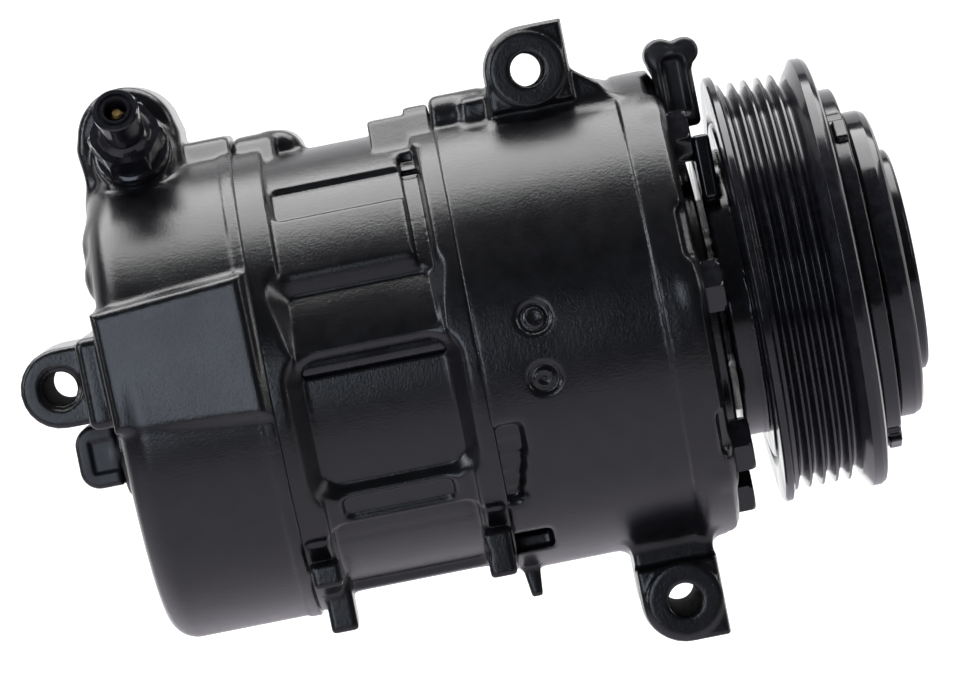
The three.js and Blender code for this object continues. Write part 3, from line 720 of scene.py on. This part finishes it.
def front_housing():
    field = Field((HOUSING_REAR - 2, -64, -88), (NOSE_END + 2, 64, 80), CASTING_STEP)
    # The drum, with a raised band in front of the step.
    step = -67.2
    field.add(bar_x((0, 0), HOUSING_R, (HOUSING_REAR, HOUSING_FRONT), 3.4))
    field.add(bar_x((0, 0), HOUSING_R, (HOUSING_REAR, HOUSING_REAR + 20), 0.8))
    field.add(bar_x((0, 0), HOUSING_R + 0.8, (step, HOUSING_FRONT), 3.4), 0.4)
    field.add(bar_x((0, 0), HOUSING_R + 0.8, (step, step + 10), 0.7), 0.3)
    # Bolt bosses on the front end, with hollows between them.
    for angle in bolt_angles():
        field.add(bar_x(around(BOLT_CIRCLE, angle), 9.6, (-62, HOUSING_FRONT + 0.2), 2.2), 2.5)
    for angle in cylinder_angles():
        hollow = turned_box((HOUSING_FRONT - 2.5, HOUSING_FRONT + 4), (-64, -57), (-7, 7), -angle, 2)
        field.cut(hollow, 2.0)
    add_ear(field, TOP_EAR, [(-77.4, 65.6), (-70.6, 60.4), (-67.0, 54.8), (-66.0, 46)], -24.5)
    add_ear(field, LOW_EAR, [(LOW_EAR["right"], -46)], -20.5)
    # The lumps behind the top ear, then the peg, slot and tapered hollow beside the rear joint.
    field.add(bar_x((-14, 59.0), 6.0, (HOUSING_REAR, -99.5), 2.2), 2.5)
    field.add(box((-106, -98), (-22, -8), (50, 62.5), 1.6), 3.0)
    field.add(plate_y([(-113.9, -55), (-108.6, -55), (-109.6, -66.4), (-112.4, -66.4)], (-16, -8), 0.8), 1.5)
    field.cut(box((HOUSING_REAR - 1, -104.2), (-48, -26), (-53.2, -47.6), 1.6), 1.2)
    for k in range(4):
        taper = (-113.2, -107.6 - 0.9 * k)
        field.cut(pocket(taper, (-26.5 - 4.5 * k, -19 - 4.5 * k), HOUSING_R - 3.0, HOUSING_R, 0.5, 1.2), 1.6)
    # Two cast marks, each a ring round a dimple.
    for x, degrees in ((-98.7, 6.3), (-98.9, -8.3)):
        angle = math.radians(degrees)
        field.cut(ring_mark(x, angle, HOUSING_R, 3.3, 1.0), 0.5)
        field.cut(ring_mark(x, angle, HOUSING_R + 0.2, 0.9, 0.9), 0.5)
    # The cavity, then the nose with its seal and bearing bores.
    wall_inner = HOUSING_FRONT - 10
    field.cut(bar_x((0, 0), CAVITY_R, (HOUSING_REAR - 9, wall_inner), 3))
    field.cut(bar_x((0, 0), CAVITY_R, (HOUSING_REAR - 9, HOUSING_REAR + 20), 0))
    field.add(bar_x((0, 0), 39.5, (wall_inner, -52.2), 1.0), 2.0)
    field.add(bar_x((0, 0), 17.4, (-55, NOSE_END), 0.6), 0.8)
    field.cut(bar_x((0, 0), 14.2, (wall_inner - 4, -49), 0))
    field.cut(bar_x((0, 0), 10, (-60, -40), 0))
    field.cut(bar_x((0, 0), 13.6, (-46, NOSE_END + 3), 0))
    cut_bolt_holes(field, (wall_inner - 6, HOUSING_FRONT + 3))
    piece = field_object("housing_casting", field)
    bare_bores(piece, (TOP_EAR, LOW_EAR))
    return dress(piece, "casing", "cast_black", "front_housing")


# ---------------------------------------------------------------- cylinder block
def cylinder_block():
    field = Field((BLOCK_REAR - 2, -64, -68), (BLOCK_FRONT + 2, 64, 67), CASTING_STEP)
    r = BLOCK_R
    joint = 0.12
    register = 0.9
    waist = r - 2.4
    # A waist between two collars, which run a little into the cover and the housing so that no gap shows.
    field.add(bar_x((0, 0), waist, (BLOCK_REAR - joint, BLOCK_FRONT + joint), 0.4))
    field.add(bar_x((0, 0), r, (BLOCK_REAR - register, BLOCK_REAR + 7.0), 0), 1.6)
    field.add(bar_x((0, 0), r - 0.8, (BLOCK_FRONT - 5.8, BLOCK_FRONT + register), 0), 1.6)
    left, right = BLOCK_REAR + 8.2, BLOCK_FRONT - 7.2
    # Hollows round the waist: x, degrees, depth, slope of the walls, corner.
    pockets = [
        ((left, right), (-28, 5.4), 3.6, 0.8, 5.0),
        ((left + 0.5, right + 0.6), (46.8, 57.8), 1.3, 0.4, 1.5),
        ((left + 4, right - 5), (-36.6, -31.2), 1.8, 0.8, 1.5),
        ((left, right), (-71.6, -39.4), 1.9, 0.5, 3.0),
        ((left, right), (-98, -78), 2.4, 0.8, 4.0),
        ((left, right), (112, 146), 3.0, 0.9, 5.0),
        ((left, right), (153, 176), 3.0, 0.9, 4.0),
        ((left, right), (-175, -145), 3.0, 0.9, 5.0),
        ((left, right), (-138, -106), 3.0, 0.9, 5.0),
    ]
    field.cut(pocket((BLOCK_FRONT - 9.6, BLOCK_FRONT - 5.8), (24, 64), waist - 2.4, r, 0.3, 1.2), 1.2)
    field.cut(pocket((left, right - 0.5), (9.0, 24.6), waist - 3.8, waist, 0.9, 2.0, 3.6), 1.0)
    for x, degrees, depth, slope, corner in pockets:
        field.cut(pocket(x, degrees, waist - depth, waist, slope, corner), 1.0)
    # Pads on top, with sloping near faces.
    field.add(prism_x([(-22.5, 53), (20, 53), (20, 61.8), (-14.5, 61.8)], (-130.6, BLOCK_FRONT), 0.7), 0.8)
    field.add(prism_x([(-20.5, 55), (14, 55), (14, 63.4), (-12.5, 63.4)], (-121, BLOCK_FRONT), 0.7), 0.8)
    field.add(prism_x([(-17, 53), (28, 45), (28, 64.2), (-5, 64.2)], (BLOCK_REAR, -155), 2.4), 1.2)
    field.add(bar_y((-154.6, 57.6), 6.6, (-4, 28), 4.0), 2.0)
    # Feet and small steps under the two collars.
    field.add(box((BLOCK_REAR + 1.8, -157.4), (-26, -8), (-64.8, -50), 1.0), 1.2)
    field.add(box((BLOCK_REAR + 0.6, -158.4), (-47, -38), (-50.8, -44.6), 0.8), 0.8)
    field.cut(box((BLOCK_REAR + 0.6, -158.9), (-56, -45.5), (-44.8, -38.6), 0.8), 0.8)
    field.add(box((-121.6, BLOCK_FRONT - 0.2), (-47, -18), (-56.6, -44.8), 1.0), 1.0)
    field.cut(box((-121.4, BLOCK_FRONT - 0.6), (-56, -44.5), (-44.6, -38.6), 0.9), 0.9)
    field.cut(bar_y((-124.6, -50.2), 3.4, (-50, -33), 1.0), 1.0)
    # Cylinders, shaft bore and bolt holes.
    for angle in cylinder_angles():
        field.cut(bar_x(around(CYLINDER_CIRCLE, angle), CYLINDER_BORE, (BLOCK_REAR - 9, BLOCK_FRONT + 9), 0))
    field.cut(bar_x((0, 0), 12, (BLOCK_REAR - 9, BLOCK_FRONT + 9), 0))
    cut_bolt_holes(field, (BLOCK_REAR - 9, BLOCK_FRONT + 9))
    return dress(field_object("block_casting", field), "casing", "cast_black", "cylinder_block")


# ---------------------------------------------------------------- rear cover
def rear_cover():
    field = Field((-234, -68, -66), (COVER_FRONT + 2, 69, 86), CASTING_STEP)
    field.add(bar_x((0, 0), COVER_R, (COVER_REAR, COVER_FRONT), 7.5))
    field.add(bar_x((0, 0), COVER_R, (COVER_FRONT - 18, COVER_FRONT), 0.6))
    field.add(bar_x((0, 0), COVER_R + 0.5, (COVER_FRONT - 3.4, COVER_FRONT), 0.6), 0.5)
    # The flat-faced box on the near side, leaning away towards the rear.
    corners = [(-206.3, -2.0), (-206.9, 28.6), (-168.0, 31.4), (-167.6, -4.6)]
    field.add(leaning(plate_y(corners, (-63.4, -40), 2.2), -168, 0.09), 1.6)
    # The rear ear on its own block.
    ear = REAR_EAR
    outline = round_arc(ear["x"], ear["z"], ear["r"], 90, 270, 13)
    outline += [(COVER_REAR + 5, ear["z"] - ear["r"]), (COVER_REAR + 5, ear["z"] + ear["r"])]
    field.add(plate_y(outline, (ear["near"], ear["far"]), 1.4), 2.5)
    field.add(box((-212.6, -206), (-52, ear["far"]), (ear["z"] - 11.4, ear["z"] + 12), 2.4), 1.5)
    field.cut(bar_y((ear["x"], ear["z"]), EAR_HOLE, (ear["near"] - 3, ear["far"] + 3), 0), 0.5)
    field.cut(bar_y((ear["x"], ear["z"]), EAR_HOLE + 1.2, (ear["near"] - 3, ear["near"] + 0.8), 0), 0.5)
    # The lug and boss that carry the relief valve, with two small lumps below them.
    field.add(bar_y((LUG["x"], LUG["z"]), LUG["r"], (LUG["near"], LUG["far"]), 2.6), 2.0)
    lug_x = (LUG["x"] - LUG["r"], LUG["x"] + LUG["r"])
    field.add(box(lug_x, (LUG["near"], LUG["far"]), (40, LUG["z"]), 2.0), 3.0)
    field.add(bar_along(RELIEF_BASE, RELIEF_AXIS, 10.4, (-18, -0.3), 1.2), 3.0)
    field.add(bar_y((-201, 43), 6.5, (-28, -16), 3.0), 4.0)
    field.add(bar_y((-203, 36), 5.0, (-36, -24), 3.0), 4.0)
    # The ridge on top, the port block on the far side, and the rim round the control valve.
    field.add(prism_x([(-18, 53), (28, 45), (28, 65.4), (-6, 65.4)], (-188.5, COVER_FRONT), 1.6), 1.2)
    field.add(box((-197, -170.5), (20, PORT_FACE), (4, 60), 2.0), 4.0)
    field.add(bar_x((VALVE["y"], VALVE["z"]), VALVE["can"] + 3.4, (-208.4, COVER_REAR + 8), 1.2), 2.5)
    # Inner and outer gas chambers, then the recess for the valve plate.
    chamber_rear, plate_seat = COVER_REAR + 8, COVER_FRONT - 5
    field.cut(tube_x(33.5, 45, (chamber_rear, plate_seat + 1), 1.5))
    field.cut(bar_x((0, 0), 30, (chamber_rear, plate_seat + 1), 1.5))
    field.cut(bar_x((0, 0), 55.4, (plate_seat, COVER_FRONT + 9), 0))
    # Ports, relief valve thread, control valve bore and bolt holes.
    for x, z, radius, depth in PORTS.values():
        field.cut(bar_y((x, z), radius, (PORT_FACE - depth, PORT_FACE + 5), 0.6), 0.8)
    field.cut(bar_along(RELIEF_BASE, RELIEF_AXIS, 5, (-9, 4), 0))
    centre = (VALVE["y"], VALVE["z"])
    field.cut(bar_x(centre, VALVE["can"] + 0.3, (COVER_REAR - 8, -196), 0))
    field.cut(bar_x(centre, VALVE["body"] + 0.3, (-198, -175), 0))
    cut_bolt_holes(field, (-191, COVER_FRONT + 9))
    piece = field_object("cover_casting", field)
    bare_bores(piece, (REAR_EAR,))
    return dress(piece, "casing", "cast_black", "rear_cover")


# ---------------------------------------------------------------- valves
def facing(axis):
    return Vector((1, 0, 0)).rotation_difference(axis).to_matrix().to_4x4()


def relief_valve():
    place = Matrix.Translation(RELIEF_BASE * MM) @ facing(RELIEF_AXIS)
    stations = [
        (-8, 4.6, 0), (0.1, 4.6, 0), (0.1, 9.0, 0), (0.5, 9.8, 0), (3.0, 9.8, 0), (3.4, 9.3, 0),
        (3.6, 8.8, 17), (4.4, 9.8, 17), (10.2, 9.8, 17), (11.2, 8.9, 17), (11.2, 7.0, 0), (12.6, 6.2, 0),
        (13.2, 5.6, 0), (22.8, 5.6, 0), (23.1, 5.9, 0), (24.3, 5.9, 0), (24.7, 5.5, 0), (24.7, 4.6, 0),
        (24.2, 4.4, 0), (24.2, 3.9, 0), (24.7, 3.7, 0), (24.7, 3.1, 0), (24.3, 2.9, 0), (13.4, 2.9, 0),
    ]
    body = sharpen(stacked("relief_valve", stations, 144, place))
    dress(body, "casing", "gloss_black", "relief_valve_body")
    poppet = [(12.9, 2.6, 0), (15, 2.6, 0), (15.4, 1.5, 0), (22.4, 1.5, 0), (22.9, 1.0, 0), (22.9, 0.4, 0)]
    stem = sharpen(stacked("relief_poppet", [(12.75, 2.2, 0)] + poppet, 48, place))
    dress(stem, "poppet", "brass", "relief_valve_poppet")


def valve_socket():
    x, y, z = span("control_valve_connector")
    field = Field((x[0] - 2, y[0] - 2, z[0] - 3), (x[1] + 2, y[1] + 2, z[1] + 3), PLASTIC_STEP)
    y0, z0 = VALVE["y"], VALVE["z"]
    half_depth, half_height = 9.0, 8.1
    corner = 5.0
    left = x[0] + corner
    front = x[0] + 10.4
    outline = round_arc(left, z0 + half_height - corner, corner, 90, 180)
    outline += round_arc(left, z0 - half_height + corner, corner, 180, 270)
    outline += [(front, z0 - half_height), (front, z0 + half_height)]
    field.add(plate_y(outline, (y0 - half_depth, y0 + half_depth), 1.2))
    near = y0 - half_depth
    field.cut(box((x[0] + 3.6, front + 2), (near - 2, near + 0.7), (z0 - 4.2, z0 + 4.2), 0.6), 0.6)
    field.add(bar_x((y0, z0), VALVE["can"] - 0.1, (front - 2, x[1]), 0.5), 0.4)
    field.cut(box((x[0] - 3, x[0] + 5), (y0 - 5.5, y0 + 5.5), (z0 - 4, z0 + 4), 0.6), 0.6)
    return dress(field_object("valve_socket", field), "casing", "plastic", "control_valve_connector")


# ---------------------------------------------------------------- fasteners
def through_bolts():
    rear, front = span("through_bolt_1")[0]
    seat = front - 5.3
    stations = [
        (rear, 3.2, 0), (rear + 0.8, 4, 0), (seat, 4, 0), (seat, 7.2, 0),
        (seat + 0.3, 7.5, 13), (seat + 0.7, 7.6, 13), (front - 1.1, 7.6, 13), (front - 0.3, 6.7, 13),
        (front, 6.2, 0), (front, 5.2, 0), (front - 0.5, 4.8, 0),
    ]
    shared = None
    for i, angle in enumerate(bolt_angles(), 1):
        if shared is None:
            bolt = sharpen(stacked(f"housing_bolt_{i}", stations, 72))
            shared = bolt.data
        else:
            bolt = bpy.data.objects.new(f"housing_bolt_{i}", shared.copy())
            bpy.context.scene.collection.objects.link(bolt)
        y, z = around(BOLT_CIRCLE * MM, angle)
        left_at = math.pi / 6 + 0.05 * (i % 3 - 1)
        bolt.matrix_world = Matrix.Translation((0, y, z)) @ Matrix.Rotation(left_at, 4, "X")
        dress(bolt, "casing", "gloss_black", f"through_bolt_{i}")


# ---------------------------------------------------------------- coil
def coil_parts():
    (rear, front), _, _ = span("coil_housing")
    cup_rear = rear + 6.6
    outer, inner, skin, bore = 44.4, 32.0, 2.4, 18.0
    field = Field((rear - 2, -47, -47), (front + 2, 47, 47), COIL_STEP)
    field.add(bar_x((0, 0), 37.4, (rear, cup_rear + 1), 1.2))
    field.add(bar_x((0, 0), outer, (cup_rear, front), 1.4))
    field.cut(bar_x((0, 0), bore, (rear - 3, front + 3), 0))
    field.cut(tube_x(inner + skin, outer - skin, (cup_rear + 2, front + 3), 0.3))
    field.cut(bar_x((0, 0), inner, (cup_rear + 0.3, front + 3), 0))
    field.add(box((rear, -45.9), (-31, -20), (26, 42.4), 1.0), 0.8)
    field.add(bar_x((-25.5, 38.2), 2.0, (rear - 1.6, rear + 1), 0.8), 0.5)
    dress(field_object("coil_cup", field), "casing", "gloss_black", "coil_housing")


def coil_connector():
    x, y, z = span("coil_connector")
    field = Field((x[0] - 2, y[0] - 2, z[0] - 2), (x[1] + 2, y[1] + 2, z[1] + 2), PLASTIC_STEP)
    top = z[1] - 4.2
    near, far = y
    field.add(box((-56.2, -46.4), (near, far), (z[0], top + 0.6), 1.8))
    field.add(box((-52, -46.6), (near + 1.5, far), (z[0], top), 0.9), 1.2)
    field.add(bar_y((-53.4, top), 4.2, (near, far), 1.4), 2.2)
    field.add(bar_y((-47.2, top), 3.6, (near, far), 1.4), 2.2)
    field.cut(box((-53.6, -48.4), (near - 2, near + 1.6), (z[0] + 3, top - 1), 1.4), 1.6)
    return dress(field_object("coil_lead_socket", field), "casing", "plastic", "coil_connector")


# ---------------------------------------------------------------- pulley and clutch
def belt_pulley():
    rear, front = span("pulley")[0]
    flange, ridge, root, rim, hub, seat = 56.5, 53.6, 50.4, 45.3, 31.0, 26.3
    pitch, first = 3.48, -24.2
    profile = [
        (front, 24.3), (front, flange - 2.2), (front - 0.6, flange - 0.6), (front - 1.8, flange),
        (front - 4.0, flange), (front - 5.6, ridge + 0.4), (first + 1.6, ridge - 0.5),
    ]
    for i in range(5):
        bottom = first - i * pitch
        profile += [(bottom + 0.35, root), (bottom - 0.35, root)]
        if i < 4:
            profile += [(bottom - pitch / 2 + 0.3, ridge), (bottom - pitch / 2 - 0.3, ridge)]
    profile += [
        (-39.6, ridge), (-40.5, ridge + 0.3), (-41.3, flange - 0.4), (rear + 0.5, flange - 0.4),
        (rear, flange - 1.0), (rear, rim + 1.6), (rear + 1.6, rim), (front - 4.2, rim), (front - 4.2, hub),
        (-41.6, hub), (-41.6, seat), (-22.5, seat), (-22.5, 24.3),
    ]
    wheel = sharpen(turned("belt_pulley", profile, 224, 0.28, 3), 50)
    dress(wheel, "pulley_body", "gloss_black", "pulley")


def clutch_parts():
    rear, front = span("armature_plate")[0]
    field = Field((rear - 1.5, -51, -51), (front + 1.5, 51, 51), CLUTCH_STEP)
    field.add(bar_x((0, 0), 47.2, (rear, front), 0.7))
    for degrees in (70, 190, 310):
        angle = math.radians(degrees)
        field.add(turned_box((rear + 1, front), (-48.7, -44), (-3.5, 3.5), -angle, 0.6), 0.6)
        field.cut(turned_box((rear - 2, front + 2), (-50, -46.2), (5.5, 8.5), -angle, 0.6), 0.5)
    field.cut(bar_x((0, 0), 24, (rear - 3, front + 3), 0), 0.5)
    for i in range(3):
        angle = math.pi / 6 + i * TAU / 3
        field.cut(bar_x(around(36, angle), 2.8, (rear - 3, front + 3), 0), 0.5)
    dress(field_object("clutch_armature", field), "armature", "gloss_black", "armature_plate")

    rear, front = span("outer_disc")[0]
    profile = [
        (rear, 30.3), (rear, 39.6), (rear + 0.7, 40.3), (front - 2.4, 40.3), (front - 0.8, 39.6),
        (front, 38.2), (front, 30.3),
    ]
    dress(turned("clutch_disc", profile, 192, 0.5, 4), "rotor", "gloss_black", "outer_disc")

    rear, front = span("damper_rubber")[0]
    profile = [(rear, 22.45), (rear, 29.9), (front - 0.9, 29.9), (front - 0.3, 27), (front - 0.9, 22.45)]
    dress(turned("damper_ring", profile, 160, 0.4, 3), "rotor", "rubber", "damper_rubber")

    rear = span("clutch_hub")[0][0]
    profile = [
        (rear, 7.55), (rear, 12), (-10.4, 12), (-10.4, 22), (-3.3, 22), (-3.3, 28.6), (-2.6, 29), (-0.9, 29),
        (-0.2, 28.3), (0, 27.3), (0, 24.6), (-0.45, 24.2), (-0.45, 18.8), (0, 18.4), (0, 13.6), (-0.9, 12.5),
        (-7.6, 12.5), (-7.6, 7.55),
    ]
    dress(turned("hub_plate", profile, 192, 0.3, 3), "rotor", "gloss_black", "clutch_hub")

    rear, front = span("hub_nut")[0]
    stations = [
        (rear, 8.5, 0), (rear + 0.2, 9.4, 17), (rear + 0.8, 9.8, 17), (front - 1.0, 9.8, 17),
        (front - 0.2, 8.7, 17), (front, 8.2, 0), (front, 6.0, 0), (front - 0.6, 5.35, 0),
        (rear + 0.6, 5.35, 0), (rear, 5.9, 0),
    ]
    dress(sharpen(hex_ring("shaft_nut", stations, 144)), "rotor", "steel", "hub_nut")


def drive_shaft():
    rear, front = span("drive_shaft")[0]
    stations = [
        (rear, 6.2, 0), (rear + 0.8, 7, 0), (-138, 7, 0), (-137.6, 8.0, 0), (-137.2, 8.2, 0), (-48, 8.2, 0),
        (-47, 7.2, 0), (-9, 7.2, 0), (-8.2, 5, 0),
    ]
    pitch = 1.25
    turns = int((front - 1.2 + 8.2) / pitch)
    for i in range(turns):
        x = -8.2 + i * pitch
        stations += [(x + 0.2, 5.0, 0), (x + 0.6, 4.45, 0), (x + 0.8, 4.45, 0), (x + 1.2, 5.0, 0)]
    stations += [
        (front - 0.5, 4.9, 0), (front, 4.4, 0), (front, 2.2, 0), (front - 1.4, 1.2, 0), (front - 2.2, 0.4, 0),
    ]
    dress(sharpen(stacked("main_shaft", stations, 72)), "rotor", "steel", "drive_shaft")


# ---------------------------------------------------------------- nodes kept from the frame
def dress_frame_nodes():
    slots = {row["node"]: row["material_slot"] for row in frame["record"]["subparts"]}
    for name, node in frame["nodes"].items():
        if node.hide_render:
            continue
        node.data.materials.clear()
        node.data.materials.append(MATERIALS[slots[name]])
        bevel = node.modifiers.new("edge_bevel", "BEVEL")
        bevel.width = 0.0002
        bevel.segments = 2
        bevel.limit_method = "ANGLE"
        bevel.angle_limit = math.radians(40)


# ---------------------------------------------------------------- stage
def area_light(name, place, target, size, power, color=(1, 1, 1)):
    data = bpy.data.lights.new(name, "AREA")
    data.shape = "RECTANGLE"
    data.size, data.size_y = size
    data.energy = power
    data.color = color
    light = bpy.data.objects.new(name, data)
    light.location = place
    aim = Vector(target) - Vector(place)
    light.rotation_euler = aim.to_track_quat("-Z", "Y").to_euler()
    bpy.context.scene.collection.objects.link(light)
    return light


def sheet(name, rows, color, glow=0.0):
    """A stage sheet 8 m wide from (y, z) rows."""
    corners = [(x, y, z) for y, z in rows for x in (-4, 4)]
    faces = [(2 * i, 2 * i + 1, 2 * i + 3, 2 * i + 2) for i in range(len(rows) - 1)]
    mesh = bpy.data.meshes.new(name)
    mesh.from_pydata(corners, [], faces)
    made = bpy.data.objects.new(name, mesh)
    bpy.context.scene.collection.objects.link(made)
    material, _, _, principled = shader(name, color, 0.8, specular=0.1)
    principled.inputs["Emission Color"].default_value = (1, 1, 1, 1)
    principled.inputs["Emission Strength"].default_value = glow
    mesh.materials.append(material)


def studio():
    """A pale floor below a lit backdrop, under one large softbox."""
    near, bend, back, level, height = -1.1, 1.5, 2.2, -0.46, 2.2
    radius = back - bend
    curve = [(bend + radius * math.sin(t), level + radius * (1 - math.cos(t)))
             for t in np.linspace(0, math.pi / 2, 13)]
    sheet("pale_floor", [(near, level), (bend, level)], (0.56, 0.53, 0.58))
    sheet("backdrop", curve + [(back, height)], (0.8, 0.8, 0.8), 0.75)

    world = bpy.data.worlds.new("studio")
    bpy.context.scene.world = world
    world.use_nodes = True
    background = world.node_tree.nodes["Background"]
    background.inputs["Color"].default_value = (0.9, 0.94, 1.0, 1)
    background.inputs["Strength"].default_value = 0.05

    centre = (-0.11, 0, 0)
    area_light("overhead", (-0.11, 0.2, 1.1), (-0.11, 0.14, 0), (2.0, 0.95), 38)
    area_light("front_card", (-0.52, -1.2, 0.02), centre, (0.5, 0.6), 3.0, (0.78, 0.87, 1.0))
    area_light("left_strip", (-1.4, -0.5, 0.5), centre, (0.25, 0.9), 6, (0.9, 0.93, 1.0))
    area_light("right_strip", (1.5, -0.3, 0.45), centre, (0.3, 0.9), 5)
    bpy.context.scene.view_settings.view_transform = "Standard"


def camera():
    aim = Vector((-0.1127, 0, 0.0013))
    distance, elevation, roll = 1.30, math.radians(3), math.radians(11.2)
    data = bpy.data.cameras.new("camera")
    data.lens = 187.5
    data.sensor_width = 36
    data.clip_start = 0.05
    data.clip_end = 50
    made = bpy.data.objects.new("camera", data)
    back = Vector((0, -math.cos(elevation), math.sin(elevation)))
    side = Vector((1, 0, 0))
    up = back.cross(side)
    right = side * math.cos(roll) - up * math.sin(roll)
    top = side * math.sin(roll) + up * math.cos(roll)
    turn = Matrix((right, top, back)).transposed().to_4x4()
    made.matrix_world = Matrix.Translation(aim + back * distance) @ turn
    bpy.context.scene.collection.objects.link(made)
    bpy.context.scene.camera = made


camera()
studio()
front_housing()
cylinder_block()
rear_cover()
relief_valve()
valve_socket()
through_bolts()
coil_parts()
coil_connector()
belt_pulley()
clutch_parts()
drive_shaft()
dress_frame_nodes()
